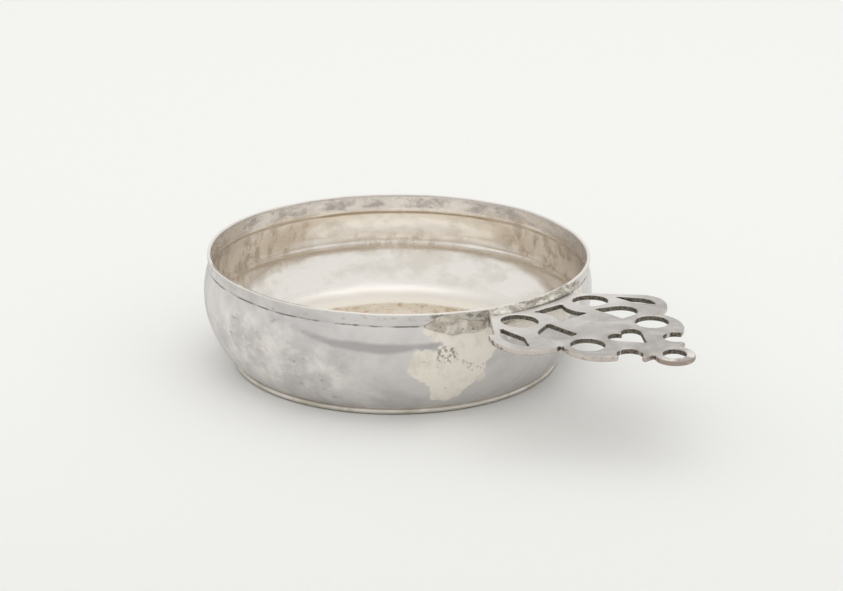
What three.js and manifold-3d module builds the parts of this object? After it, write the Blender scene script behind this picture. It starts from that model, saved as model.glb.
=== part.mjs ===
import * as THREE from 'three';
import { mergeVertices } from 'three/addons/utils/BufferGeometryUtils.js';
import Module from 'manifold-3d';

// Silver porringer: a raised bowl with an upright collar and a domed bottom, a wire foot ring,
// and one cast and pierced handle soldered level to the collar. All sizes are in millimetres.
// The handle points along +X, Z is up and the table is at Z = 0.

// Bowl
const bowlHeight = 36.0;
const rimRadius = 62.0;
const sheet = 1.1;
const collarHeight = 4.0;
const collarFlare = 0.4;
const bellyRadius = 63.0;
const bellyLevel = 24.5;
const seatRadius = 50.75;
const seatBend = 1.6;
const floorRadius = 47.0;
const floorDrop = 1.0;
const domeRadius = 40.0;
const domeRise = 3.0;

// Foot ring: round wire laid in the angle under the bowl and worn flat where it stands
const footWire = 1.9;
const footFlat = 1.0;
const footAngle = 50;

// The solder line between any two pieces that touch
const solderGap = 0.3;

// Handle plate. Its plan is drawn from the collar: x runs out along the handle, y across it.
const plateThickness = 1.8;
const plateDrop = 2.7;
const plateEdge = 0.3;
const rootHalfWidth = 16.8;
const rootTurn = -1.2;
const wing = { x: 36.2, y: 9.9, radius: 11.9 };
const bite = { x: 48.5, y: 10.2, radius: 3.9, to: -20 };
const barb = { x: 53.5, y: 9.0 };
const eyelet = { x: 57.3, radius: 6.2, hole: 3.5, from: 125 };
const innerEye = { x: 8.1, y: 14.9, radius: 5.4 };
const outerEye = { x: 34.9, y: 14.1, radius: 5.1 };
const arch = { x: 21.9, y: 14.3, radius: 4.9, base: 9.8, left: 14.8, right: 26.6 };
const throatHole = { from: 4.8, to: 15.9, waist: 4.0, flare: 6.0 };
const heart = { x: 36.7, y: 2.85, radius: 3.0, tip: 45.7 };

// Each side's shoulder and the slot through it were cut by eye, so they differ
const leftSide = {
  shoulder: { x: 20.4, y: 21.0, radius: 10.8, from: 122 },
  nick: [],
  slot: { x: 10.1, y: 23.0, band: 3.7, knee: 19.1, from: 122, to: 50 },
};
const rightSide = {
  shoulder: { x: 18.7, y: 22.0, radius: 11.6, from: 132 },
  nick: [{ x: 11.8, y: 29.2 }],
  slot: { x: 9.1, y: 23.9, band: 3.7, knee: 18.5, from: 140, to: 45 },
};

// The casting isn't quite true: its tip leans to one side, by so many millimetres, and its root
// sits askew, by so much along x for each millimetre across
const tipLean = -2.0;
const rootSkew = 0.07;

// Solder left round the handle's root, above and below the plate
const seamRise = 1.6;
const seamReach = 2.0;
const underSeamDrop = 1.3;
const underSeamReach = 1.6;
const seamToe = 0.25;

// Old repair: a thin patch soldered over the crease beside the handle's root
const patchThickness = 0.7;

// Facets: turns of the bowl and the foot, steps along a wall, and the arc that one facet may span
const turns = 72;
const seamTurns = 240;
const lowerSteps = 9;
const upperSteps = 3;
const bendSteps = 3;
const lipSteps = 6;
const domeSteps = 6;
const rootSteps = 12;
const seamSteps = 4;
const wireSteps = 9;
const holeSteps = 20;
const throatSteps = 6;
const patchKnotSteps = 3;
const wallSamples = 12;
const arcStep = 14;

// How far a cutting prism reaches, and how close two corners lie that are one
const cutLength = 200;
const weld = 1e-4;

const radians = THREE.MathUtils.degToRad;
const degrees = THREE.MathUtils.radToDeg;

const wasm = await Module();
wasm.setup();

const silver = new THREE.MeshStandardMaterial({ color: '#cfccc5', roughness: 0.28, metalness: 1 });
const castSilver = new THREE.MeshStandardMaterial({ color: '#c3bfba', roughness: 0.4, metalness: 1 });
const wireSilver = new THREE.MeshStandardMaterial({ color: '#c9c4ba', roughness: 0.33, metalness: 1 });
const solder = new THREE.MeshStandardMaterial({ color: '#b5afa3', roughness: 0.55, metalness: 1 });
const patchSilver = new THREE.MeshStandardMaterial({ color: '#bfb8ab', roughness: 0.45, metalness: 1 });

// Points on a circle from one angle to another, in degrees, both ends included
function arc(x, y, radius, from, to, steps = Math.max(2, Math.ceil(Math.abs(to - from) / arcStep))) {
  return Array.from({ length: steps + 1 }, (_, i) => {
    const angle = radians(from + (to - from) * i / steps);
    return new THREE.Vector2(x + radius * Math.cos(angle), y + radius * Math.sin(angle));
  });
}

// Where two circles cross, on the side to the left of the line from the first centre to the second
function crossing(a, b) {
  const line = new THREE.Vector2(b.x - a.x, b.y - a.y);
  const distance = line.length();
  const along = (distance ** 2 + a.radius ** 2 - b.radius ** 2) / (2 * distance);
  const aside = Math.sqrt(a.radius ** 2 - along ** 2);
  const unit = line.divideScalar(distance);
  return new THREE.Vector2(
    a.x + unit.x * along - unit.y * aside,
    a.y + unit.y * along + unit.x * aside,
  );
}

// The angle, in degrees, at which a point is seen from a centre
function angleFrom(centre, point) {
  return degrees(Math.atan2(point.y - centre.y, point.x - centre.x));
}

// The angle, in degrees, at which a tangent from a point touches a circle; side is 1 or -1
function tangentAngle(circle, point, side) {
  const distance = Math.hypot(point.x - circle.x, point.y - circle.y);
  return angleFrom(circle, point) + side * degrees(Math.acos(circle.radius / distance));
}

function mirrored(points) {
  return points.map((point) => new THREE.Vector2(point.x, -point.y)).reverse();
}

// The bowl's outer wall: heights and radii of its arcs
const throatLevel = bowlHeight - collarHeight;
const throatRadius = rimRadius - collarFlare;
const lip = { x: rimRadius - sheet / 2, y: bowlHeight - sheet / 2, radius: sheet / 2 };
const footOffset = seatBend + solderGap + footWire / 2;
const footLevel = Math.sqrt((footWire / 2) ** 2 - (footFlat / 2) ** 2);
const seatLevel = footLevel + footOffset * Math.sin(radians(footAngle)) - seatBend;
const footRadius = seatRadius + footOffset * Math.cos(radians(footAngle));
const bend = { x: seatRadius, y: seatLevel + seatBend, radius: seatBend };

// The flat floor lies lower than the seat, and the sheet slopes up from its edge to the bend
const floorEdge = new THREE.Vector2(floorRadius, seatLevel - floorDrop);
const bendStart = tangentAngle(bend, floorEdge, 1);

// The lower belly touches the seat's bend and stands upright at the widest level
const bellyWidth = bellyRadius - bend.x;
const bellyDepth = bellyLevel - bend.y;
const lowerRadius = (bellyWidth ** 2 + bellyDepth ** 2 - seatBend ** 2) / (2 * (bellyWidth - seatBend));
const lower = { x: bellyRadius - lowerRadius, y: bellyLevel, radius: lowerRadius };
const bendEnd = angleFrom(lower, new THREE.Vector2(bend.x, bend.y));

// The upper belly leaves the widest level upright and draws in to the crease under the collar
const drawIn = bellyRadius - throatRadius;
const shoulderRise = throatLevel - bellyLevel;
const upperRadius = (drawIn ** 2 + shoulderRise ** 2) / (2 * drawIn);
const upper = { x: bellyRadius - upperRadius, y: bellyLevel, radius: upperRadius };
const creaseAngle = degrees(Math.atan2(shoulderRise / upperRadius, (throatRadius - upper.x) / upperRadius));

// The outer radius of the bowl at a level between the seat's bend and the rim
function bowlRadiusAt(level) {
  if (level >= throatLevel) {
    const share = Math.min(1, (level - throatLevel) / (lip.y - throatLevel));
    return throatRadius + collarFlare * share;
  }
  const belly = level >= bellyLevel ? upper : lower;
  return belly.x + Math.sign(belly.radius) * Math.sqrt(belly.radius ** 2 - (level - belly.y) ** 2);
}

function widestBetween(low, high) {
  const levels = Array.from({ length: wallSamples + 1 }, (_, i) => low + (high - low) * i / wallSamples);
  return Math.max(...levels.map(bowlRadiusAt));
}

// The underside of the domed centre, which falls to the floor in a smooth S
function domeLine() {
  return Array.from({ length: domeSteps + 1 }, (_, i) => {
    const radius = domeRadius * i / domeSteps;
    const share = Math.cos(Math.PI * i / (2 * domeSteps)) ** 2;
    return new THREE.Vector2(radius, floorEdge.y + domeRise * share);
  });
}

// The outside from the belly's widest level up to the crease, and the top of the collar above it
const shoulderLine = arc(upper.x, upper.y, upper.radius, 0, creaseAngle, upperSteps);
const collarTop = new THREE.Vector2(rimRadius, lip.y);

function outerLine() {
  return [
    ...domeLine(),
    floorEdge,
    ...arc(bend.x, bend.y, bend.radius, bendStart, bendEnd, bendSteps),
    ...arc(lower.x, lower.y, lower.radius, bendEnd, 0, lowerSteps).slice(1),
    ...shoulderLine.slice(1),
  ];
}

// A line of the wall moved inwards by a distance, square to itself
function insetLine(points, distance) {
  return points.map((point, i) => {
    const before = points[Math.max(0, i - 1)];
    const after = points[Math.min(points.length - 1, i + 1)];
    const normals = [[before, point], [point, after]]
      .filter(([a, b]) => a !== b)
      .map(([a, b]) => new THREE.Vector2(b.y - a.y, a.x - b.x).normalize());
    const first = normals[0];
    const last = normals[normals.length - 1];
    const mitre = new THREE.Vector2(first.x + last.x, first.y + last.y).normalize();
    const reach = distance / mitre.dot(first);
    return new THREE.Vector2(point.x - mitre.x * reach, point.y - mitre.y * reach);
  });
}

// A profile of radius and level, turned about the upright axis
function turned(points, segments) {
  return new THREE.LatheGeometry(points, segments).rotateX(Math.PI / 2);
}

function closedLoop(points) {
  return [...points, points[0]];
}

function bowlGeometry() {
  const outside = outerLine();
  const inside = insetLine([...outside, collarTop], sheet).slice(0, -1);
  inside[0].setX(0);
  return turned([
    ...outside,
    ...arc(lip.x, lip.y, lip.radius, 0, 180, lipSteps),
    ...inside.reverse(),
  ], turns);
}

function footGeometry() {
  const flatAngle = degrees(Math.asin(footFlat / footWire));
  const wire = arc(footRadius, footLevel, footWire / 2, -90 + flatAngle, 270 - flatAngle, wireSteps);
  return turned(closedLoop(wire), turns);
}

// Geometry to a solid and back, for the cuts
function toSolid(geometry) {
  const bare = geometry.clone();
  bare.deleteAttribute('normal');
  bare.deleteAttribute('uv');
  const merged = mergeVertices(bare, weld);
  const corners = Array.from(merged.index.array);
  const triangles = [];
  for (let i = 0; i < corners.length; i += 3) {
    const [a, b, c] = corners.slice(i, i + 3);
    if (a !== b && b !== c && c !== a) triangles.push(a, b, c);
  }
  return new wasm.Manifold(new wasm.Mesh({
    numProp: 3,
    vertProperties: new Float32Array(merged.attributes.position.array),
    triVerts: new Uint32Array(triangles),
  }));
}

function toGeometry(solid) {
  const mesh = solid.getMesh();
  const geometry = new THREE.BufferGeometry();
  geometry.setAttribute('position', new THREE.BufferAttribute(mesh.vertProperties, mesh.numProp));
  geometry.setIndex(new THREE.BufferAttribute(mesh.triVerts, 1));
  geometry.computeVertexNormals();
  return geometry;
}

function common(first, second) {
  return toGeometry(toSolid(first).intersect(toSolid(second)));
}

// The handle's levels, and the collar radius that its root is cut to
const plateTop = bowlHeight - plateDrop;
const plateBottom = plateTop - plateThickness;
const rootRadius = widestBetween(plateBottom, plateTop) + solderGap;
const rootAngle = degrees(Math.asin(rootHalfWidth / rootRadius));

// A feature of the plan, moved out to where the collar ends
function placed(feature) {
  return { ...feature, x: feature.x + rootRadius, y: feature.y ?? 0 };
}

// A point of the true plan, moved to where the casting has it. The skew fades out and the lean
// grows from the collar to the eyelet.
function asCast(point) {
  const share = Math.min(1, (point.x - rootRadius) / eyelet.x);
  return new THREE.Vector2(
    point.x + rootSkew * point.y * (1 - share) ** 2,
    point.y + tipLean * share ** 3,
  );
}

function corners(features) {
  return features.map(placed).map(({ x, y }) => new THREE.Vector2(x, y));
}

// One side's outline from the collar to the tip, drawn where y is positive
function sideOutline({ shoulder, nick }) {
  const lobe = placed(shoulder);
  const outer = placed(wing);
  const notch = placed(bite);
  const ring = placed(eyelet);
  const valley = crossing(lobe, outer);
  const cusp = crossing(outer, notch);
  return [
    ...corners(nick),
    ...arc(lobe.x, lobe.y, lobe.radius, lobe.from, angleFrom(lobe, valley)),
    ...arc(outer.x, outer.y, outer.radius, angleFrom(outer, valley), angleFrom(outer, cusp)).slice(1),
    ...arc(notch.x, notch.y, notch.radius, angleFrom(notch, cusp), 360 + notch.to).slice(1),
    ...corners([barb]),
    ...arc(ring.x, ring.y, ring.radius, ring.from, 0),
  ];
}

// The whole outline, root first, taken counter-clockwise
function plateOutline() {
  const root = arc(0, 0, rootRadius, rootTurn - rootAngle, rootTurn + rootAngle, rootSteps);
  const left = sideOutline(leftSide);
  const right = mirrored(sideOutline(rightSide).slice(0, -1));
  return [...root, ...[...left, ...right].map(asCast)].reverse();
}

function roundHole(feature) {
  const { x, y, radius } = placed(feature);
  return arc(x, y, radius, 0, 360, holeSteps).slice(0, -1);
}

// A window with a straight sill and a round head, its sides running tangent to the head
function archHole() {
  const head = placed(arch);
  const [left, right] = corners([{ x: arch.left, y: arch.base }, { x: arch.right, y: arch.base }]);
  const start = tangentAngle(head, right, 1);
  const end = tangentAngle(head, left, -1) + 360;
  return [left, right, ...arc(head.x, head.y, head.radius, start, end)];
}

// The slot follows the shoulder's edge outside, and a straight bar with a knee inside
function shoulderSlot({ shoulder, slot }) {
  const lobe = placed(shoulder);
  const bar = corners([{ x: slot.x, y: slot.y }, { x: slot.knee, y: slot.y }]);
  return [...bar, ...arc(lobe.x, lobe.y, lobe.radius - slot.band, slot.to, slot.from)];
}

// The opening next to the collar: waisted sides that flare to two sharp corners
function throatOpening() {
  const from = rootRadius + throatHole.from;
  const to = rootRadius + throatHole.to;
  const middle = (from + to) / 2;
  const half = (to - from) / 2;
  const depth = throatHole.flare - throatHole.waist;
  const radius = (half ** 2 + depth ** 2) / (2 * depth);
  const swing = degrees(Math.asin(half / radius));
  const side = arc(middle, throatHole.waist + radius, radius, -90 - swing, -90 + swing, throatSteps);
  return [...side, ...mirrored(side)];
}

// A heart whose two lobes meet in a cusp towards the bowl and whose point faces the tip
function heartHole() {
  const lobe = placed(heart);
  const tip = new THREE.Vector2(rootRadius + heart.tip, 0);
  const cusp = -90 - degrees(Math.acos(heart.y / heart.radius));
  const side = arc(lobe.x, lobe.y, lobe.radius, cusp, tangentAngle(lobe, tip, 1) - 360);
  return [...side, tip, ...mirrored(side.slice(1))];
}

function plateGeometry() {
  const plan = new THREE.Shape(plateOutline());
  const pairs = [roundHole(innerEye), roundHole(outerEye), archHole()];
  const single = [
    shoulderSlot(leftSide),
    mirrored(shoulderSlot(rightSide)),
    roundHole({ x: eyelet.x, radius: eyelet.hole }),
    throatOpening(),
    heartHole(),
  ];
  const holes = [...pairs, ...pairs.map(mirrored), ...single];
  plan.holes = holes.map((points) => new THREE.Path(points.map(asCast)));
  return new THREE.ExtrudeGeometry(plan, {
    depth: plateThickness - 2 * plateEdge,
    bevelEnabled: true,
    bevelThickness: plateEdge,
    bevelSize: plateEdge,
    bevelOffset: -plateEdge,
    bevelSegments: 1,
  }).translate(0, 0, plateBottom + plateEdge);
}

// A wedge of the plan, centred on an azimuth, that cuts a turned ring to a short stretch
function wedge(halfAngle) {
  const side = new THREE.Vector2(cutLength, cutLength * Math.tan(radians(halfAngle)));
  const plan = new THREE.Shape([new THREE.Vector2(), new THREE.Vector2(side.x, -side.y), side]);
  return new THREE.ExtrudeGeometry(plan, { depth: cutLength, bevelEnabled: false });
}

// The section of a solder fillet between the wall and the plate; way is 1 above it and -1 below
function filletSection(plateLevel, rise, reach, way) {
  const levels = Array.from({ length: seamSteps + 1 }, (_, i) => plateLevel + way * rise * i / seamSteps);
  const wall = levels.map((level) => new THREE.Vector2(bowlRadiusAt(level) + solderGap, level));
  const head = wall[seamSteps];
  const start = new THREE.Vector2(head.x + seamToe, head.y);
  const end = new THREE.Vector2(rootRadius + reach, plateLevel + way * seamToe);
  const hollow = Array.from({ length: seamSteps + 1 }, (_, i) => {
    const angle = Math.PI / 2 * i / seamSteps;
    return new THREE.Vector2(
      start.x + (end.x - start.x) * (1 - Math.cos(angle)),
      end.y + (start.y - end.y) * (1 - Math.sin(angle)),
    );
  });
  const section = [...wall, ...hollow, new THREE.Vector2(end.x, plateLevel)];
  return way > 0 ? section.reverse() : section;
}

function seamGeometry(plateLevel, rise, reach, way) {
  const section = filletSection(plateLevel, rise, reach, way);
  return common(turned(closedLoop(section), seamTurns), wedge(rootAngle).rotateZ(radians(rootTurn)));
}

// The patch's ragged edge, seen square on: x along the crease, y above or below it
const patchEdge = [
  [-10.2, 0.1], [-7.0, -1.3], [-4.1, -2.2], [-1.4, -3.1], [2.5, -2.8], [5.5, -3.0], [9.0, -2.5], [10.0, -1.1],
  [8.2, 0.1], [4.7, 0.6], [1.2, 1.8], [0.0, 3.0], [-4.1, 3.2], [-6.4, 2.8], [-7.4, 1.4],
].map(([x, y]) => new THREE.Vector2(x, y));

// The patch's section: a band as thick as the patch that runs beside the shoulder and the collar
function patchSection() {
  const above = new THREE.Vector2(rimRadius, bowlHeight + patchThickness);
  const wall = [...shoulderLine, collarTop, above];
  return [...insetLine(wall, -solderGap - patchThickness), ...insetLine(wall, -solderGap).reverse()];
}

// The patch starts one solder line past the handle's root
function patchGeometry() {
  const curve = new THREE.SplineCurve([...patchEdge, patchEdge[0]]);
  const edge = curve.getPoints(patchKnotSteps * patchEdge.length).slice(0, -1);
  const reach = Math.max(...edge.map((point) => point.x));
  const plan = new THREE.Shape(edge.map((point) => new THREE.Vector2(point.x, point.y + throatLevel)));
  const prism = new THREE.ExtrudeGeometry(plan, { depth: cutLength, bevelEnabled: false });
  const azimuth = rootTurn - rootAngle - degrees(Math.asin((reach + 2 * solderGap) / rootRadius));
  prism.rotateX(Math.PI / 2).rotateZ(Math.PI / 2).rotateZ(radians(azimuth));
  return common(turned(closedLoop(patchSection()), seamTurns), prism);
}

function piece(name, geometry, material) {
  const mesh = new THREE.Mesh(geometry, material);
  mesh.name = name;
  return mesh;
}

const porringer = new THREE.Group();
porringer.add(
  piece('bowl', bowlGeometry(), silver),
  piece('foot_ring', footGeometry(), wireSilver),
  piece('handle', plateGeometry(), castSilver),
  piece('upper_solder_seam', seamGeometry(plateTop + solderGap, seamRise, seamReach, 1), solder),
  piece(
    'lower_solder_seam',
    seamGeometry(plateBottom - solderGap, underSeamDrop, underSeamReach, -1),
    solder,
  ),
  piece('repair_patch', patchGeometry(), patchSilver),
);

// The origin is on the table, under the middle of the overall length
const tipReach = rootRadius + eyelet.x + eyelet.radius;
porringer.position.x = (bellyRadius - tipReach) / 2;

export default porringer;
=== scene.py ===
"""Looks of the silver porringer: a raised bowl on a wire foot with a cast and pierced handle."""

import logging
import math
from collections.abc import Callable
from dataclasses import dataclass, replace
from enum import Enum

import bmesh
import bpy
import numpy as np
from mathutils import Matrix, Vector, noise
from mathutils.bvhtree import BVHTree


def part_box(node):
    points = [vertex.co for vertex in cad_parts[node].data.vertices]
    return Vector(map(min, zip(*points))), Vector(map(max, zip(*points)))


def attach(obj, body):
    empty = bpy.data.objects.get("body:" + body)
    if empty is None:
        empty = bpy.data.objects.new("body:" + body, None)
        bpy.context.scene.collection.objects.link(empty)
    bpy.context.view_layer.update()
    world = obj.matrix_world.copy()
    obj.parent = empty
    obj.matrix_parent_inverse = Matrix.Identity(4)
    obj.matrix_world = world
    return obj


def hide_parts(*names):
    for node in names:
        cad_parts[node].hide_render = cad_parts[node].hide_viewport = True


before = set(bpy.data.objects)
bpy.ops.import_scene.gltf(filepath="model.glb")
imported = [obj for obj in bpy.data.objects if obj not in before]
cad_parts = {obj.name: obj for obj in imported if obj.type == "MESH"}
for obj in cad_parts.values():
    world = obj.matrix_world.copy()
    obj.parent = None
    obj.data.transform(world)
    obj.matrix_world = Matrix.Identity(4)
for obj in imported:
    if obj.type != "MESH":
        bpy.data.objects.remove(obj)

LOG = logging.getLogger("porringer")

MM = 0.001

# Vertices that lie closer than this are one, in metres
WELD = 1e-6

# Levels that the bowl's shape and its finish share, in millimetres above the table
RIM_LEVEL = 36.0
CREASE_LEVEL = 32.0
INNER_CREASE_LEVEL = 30.2

# A zone's number where the zone is far away, in millimetres
FAR_OUTSIDE = -20.0

# The noise that makes patches and ragged edges, and the middle of every noise
PATCH_DETAIL = 4.0
EDGE_DETAIL = 5.0
NOISE_ROUGHNESS = 0.6
NOISE_MIDDLE = 0.5

# The photograph's width and focal length in pixels, and the camera fitted to the bowl and the handle
# in it, with angles in degrees and lengths in millimetres
PHOTO_WIDTH = 843
FOCAL_PIXELS = 2400
SENSOR_WIDTH = 36.0
VIEW_AZIMUTH = 46.2
VIEW_ELEVATION = 19.59
VIEW_ROLL = -0.11
VIEW_DISTANCE = 783.8
AIM_RIGHT = 7.75
AIM_HEIGHT = 20.14

# Level directions: across the photograph to the right, and away from the camera
VIEW_TURN = math.radians(VIEW_AZIMUTH)
ACROSS = Vector((math.cos(VIEW_TURN), math.sin(VIEW_TURN), 0.0))
AWAY = Vector((-math.sin(VIEW_TURN), math.cos(VIEW_TURN), 0.0))

Point = tuple[float, float]
Socket = bpy.types.NodeSocket


class Zone(Enum):
    """The parts of a surface that differ from the rest, by the name of their attribute."""

    # Brown film inside: tarnish, and painted reflected shade at the two ends of the wall
    TARNISH = "inner_tarnish"
    FLOOD = "solder_flood"
    TORN = "torn_solder"
    # Painted shade in a band under the shoulder
    BAND = "shoulder_band"
    RUBBED = "rubbed_wall"
    JOINT = "joint_stain"
    INSIDE = "inner_side"
    LEVEL = "wall_level"
    # Tarnish and painted shade on walls that face nearby metal
    SAWN = "sawn_wall"
    TIP = "worn_tip"
    EDGE = "filed_edge"
    # Painted shade in the notches
    NOTCH = "dirty_notch"
    OUTWARD = "way_to_the_tip"


class Side(Enum):
    """The side of the handle's plate that a solder seam lies on, by the seam's CAD node."""

    ABOVE = "upper_solder_seam"
    BELOW = "lower_solder_seam"


def linear(colour: str) -> tuple[float, float, float, float]:
    """Turns an sRGB hex colour into linear RGBA.

    Args:
        colour: The colour, written as "#rrggbb".

    Returns:
        The linear red, green and blue, with an alpha of 1.
    """
    channels = [int(colour[i:i + 2], 16) / 255 for i in (1, 3, 5)]
    curved = [c / 12.92 if c <= 0.04045 else ((c + 0.055) / 1.055) ** 2.4 for c in channels]
    return (*curved, 1.0)


def add(tree: bpy.types.NodeTree, kind: str, settings: dict | None = None,
        inputs: dict | None = None) -> bpy.types.Node:
    """Adds a node to a tree, with its settings, values and links.

    Args:
        tree: The tree that gets the node.
        kind: The node's type, such as "ShaderNodeMath".
        settings: The node's own properties by name.
        inputs: Values or output sockets by the name or number of the input they go to.

    Returns:
        The new node.
    """
    node = tree.nodes.new(kind)
    for name, value in (settings or {}).items():
        setattr(node, name, value)
    for key, value in (inputs or {}).items():
        socket = node.inputs[key]
        if isinstance(value, bpy.types.NodeSocket):
            tree.links.new(value, socket)
        else:
            socket.default_value = value
    return node


def arc(x: float, y: float, radius: float, start: float, end: float, steps: int) -> list[Point]:
    """Gives points on a circle from one angle to another.

    Args:
        x: The centre's first coordinate.
        y: The centre's second coordinate.
        radius: The circle's radius.
        start: The first angle, in degrees.
        end: The last angle, in degrees.
        steps: How many steps lie between them.

    Returns:
        The points, both ends included.
    """
    angles = [math.radians(start + (end - start) * i / steps) for i in range(steps + 1)]
    return [(x + radius * math.cos(a), y + radius * math.sin(a)) for a in angles]


def inset(points: list[Point], distance: float) -> list[Point]:
    """Moves an open line sideways, square to itself.

    Args:
        points: The line, from the axis outwards and up.
        distance: How far it moves to its left.

    Returns:
        The moved line, with as many points.
    """
    line = np.array(points)
    steps = np.diff(line, axis=0)
    steps /= np.linalg.norm(steps, axis=1)[:, None]
    before = np.vstack([steps[:1], steps])
    after = np.vstack([steps, steps[-1:]])
    left = np.column_stack([-(before + after)[:, 1], (before + after)[:, 0]])
    left /= np.linalg.norm(left, axis=1)[:, None]
    mitre = np.sum(left * np.column_stack([-before[:, 1], before[:, 0]]), axis=1)
    moved = line + left * (distance / mitre)[:, None]
    moved[0, 0] = 0.0
    return [tuple(p) for p in moved]


def coordinates(mesh: bpy.types.Mesh) -> np.ndarray:
    """Gives a mesh's vertices as rows of x, y and z in metres."""
    flat = np.empty(len(mesh.vertices) * 3)
    mesh.vertices.foreach_get("co", flat)
    return flat.reshape(-1, 3)


def place(mesh: bpy.types.Mesh, points: np.ndarray) -> None:
    """Writes new vertex places, in metres, into a mesh."""
    mesh.vertices.foreach_set("co", points.astype(np.float32).ravel())
    mesh.update()


def normals(mesh: bpy.types.Mesh) -> np.ndarray:
    """Gives a mesh's vertex normals as rows of x, y and z."""
    flat = np.empty(len(mesh.vertices) * 3, np.float32)
    mesh.vertices.foreach_get("normal", flat)
    return flat.reshape(-1, 3).astype(float)


def write_zone(mesh: bpy.types.Mesh, zone: Zone, values: np.ndarray) -> None:
    """Stores one number for each vertex under a zone's name."""
    attribute = mesh.attributes.new(zone.value, "FLOAT", "POINT")
    attribute.data.foreach_set("value", values.astype(np.float32))


def read_zone(mesh: bpy.types.Mesh, zone: Zone) -> np.ndarray:
    """Gives the number that each vertex has under a zone's name."""
    values = np.empty(len(mesh.vertices), np.float32)
    mesh.attributes[zone.value].data.foreach_get("value", values)
    return values.astype(float)


def inside_by(points: np.ndarray, outline: list[Point]) -> np.ndarray:
    """Measures how far inside a closed outline points lie.

    Args:
        points: Rows of two coordinates, in millimetres.
        outline: The corners of the outline, in the same coordinates.

    Returns:
        The distance to the outline, above zero inside it and below zero outside.
    """
    corners = np.array(outline)
    nearest = np.full(len(points), np.inf)
    inside = np.zeros(len(points), bool)
    for a, b in zip(corners, np.roll(corners, -1, axis=0)):
        edge = b - a
        share = np.clip((points - a) @ edge / (edge @ edge), 0, 1)
        nearest = np.minimum(nearest, np.linalg.norm(points - a - share[:, None] * edge, axis=1))
        spans = (a[1] > points[:, 1]) != (b[1] > points[:, 1])
        if a[1] != b[1]:
            crossing = a[0] + (points[:, 1] - a[1]) * edge[0] / edge[1]
            inside ^= spans & (points[:, 0] < crossing)
    return np.where(inside, nearest, -nearest)


def rough_by(points: np.ndarray, size: float, octaves: int = 1) -> np.ndarray:
    """Gives a smooth random height at each point.

    Args:
        points: Rows of x, y and z, in metres.
        size: The width of one bump, in millimetres.
        octaves: How many finer layers are laid over each other.

    Returns:
        Heights from about -1 to 1.
    """
    scaled = points / (size * MM)
    heights = np.zeros(len(points))
    for layer in range(octaves):
        fine = 2 ** layer
        heights += np.array([noise.noise(Vector(p) * fine) for p in scaled]) / fine
    return heights


def new_object(name: str, mesh: bpy.types.Mesh) -> bpy.types.Object:
    """Links a new object at the origin that shows a mesh."""
    made = bpy.data.objects.new(name, mesh)
    bpy.context.scene.collection.objects.link(made)
    return made


def flattened(made: bpy.types.Object) -> bpy.types.Object:
    """Turns an object's modifiers into a plain mesh.

    Args:
        made: The object with live modifiers.

    Returns:
        The same object, which shows the plain mesh and has no modifiers.
    """
    bpy.context.view_layer.update()
    graph = bpy.context.evaluated_depsgraph_get()
    plain = bpy.data.meshes.new_from_object(made.evaluated_get(graph), depsgraph=graph)
    made.modifiers.clear()
    made.data = plain
    return made


def cad_copy(node: str, voxel: float) -> bpy.types.Mesh:
    """Copies a CAD node as one fine, even and closed mesh.

    Args:
        node: The CAD node's name.
        voxel: The size of the new mesh's faces, in millimetres.

    Returns:
        The new mesh, in the place of the node.
    """
    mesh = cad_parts[node].data.copy()
    solid = bmesh.new()
    solid.from_mesh(mesh)
    bmesh.ops.remove_doubles(solid, verts=solid.verts, dist=WELD)
    solid.to_mesh(mesh)
    solid.free()
    carrier = new_object("carrier", mesh)
    remesh = carrier.modifiers.new("remesh", "REMESH")
    remesh.mode = "VOXEL"
    remesh.voxel_size = voxel * MM
    fine = flattened(carrier).data
    bpy.data.objects.remove(carrier)
    return fine


def evened(mesh: bpy.types.Mesh, values: np.ndarray, rounds: int) -> np.ndarray:
    """Evens out values by moving each vertex's value half way to its neighbours' mean.

    Args:
        mesh: The mesh whose edges say which vertices are neighbours.
        values: One row for each vertex.
        rounds: How many times the values move.

    Returns:
        The evened rows.
    """
    edges = np.empty(len(mesh.edges) * 2, int)
    mesh.edges.foreach_get("vertices", edges)
    a, b = edges.reshape(-1, 2).T
    count = np.bincount(np.concatenate([a, b]), minlength=len(values))[:, None]
    for _ in range(rounds):
        total = np.zeros_like(values)
        np.add.at(total, a, values[b])
        np.add.at(total, b, values[a])
        values = values * 0.5 + 0.5 * total / count
    return values


def worn(mesh: bpy.types.Mesh, rounds: int) -> None:
    """Wears a mesh's edges round."""
    place(mesh, evened(mesh, coordinates(mesh), rounds))


def smooth_shaded(mesh: bpy.types.Mesh, material: bpy.types.Material) -> bpy.types.Mesh:
    """Shades a mesh smooth and gives it its only material."""
    mesh.polygons.foreach_set("use_smooth", np.ones(len(mesh.polygons), bool))
    mesh.materials.clear()
    mesh.materials.append(material)
    return mesh


def face_out(mesh: bpy.types.Mesh) -> None:
    """Points a closed mesh's faces outwards.

    Args:
        mesh: The mesh, which is changed.
    """
    solid = bmesh.new()
    solid.from_mesh(mesh)
    bmesh.ops.remove_doubles(solid, verts=solid.verts, dist=WELD)
    bmesh.ops.recalc_face_normals(solid, faces=solid.faces)
    if solid.calc_volume(signed=True) < 0:
        bmesh.ops.reverse_faces(solid, faces=solid.faces)
    solid.to_mesh(mesh)
    solid.free()


def belly_arc(width: float, depth: float, bend: float = 0.0) -> float:
    """Gives the radius of an arc that leaves the belly upright and then touches a bend.

    Args:
        width: How far the bend's centre lies inside the belly.
        depth: How far it lies above or below the belly.
        bend: The bend's radius, or 0 for a point that the arc passes through.

    Returns:
        The arc's radius.
    """
    return (width ** 2 + depth ** 2 - bend ** 2) / (2 * (width - bend))


@dataclass(frozen=True)
class Patches:
    """Irregular patches.

    The size is the width of one patch, in millimetres. A patch starts at the noise level low and is
    full at high. On an upright wall it is stretch times wider than high. The shift, in metres, moves
    the pattern so that it differs from another.
    """

    size: float
    low: float
    high: float
    stretch: float = 1.0
    shift: float = 0.0


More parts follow.
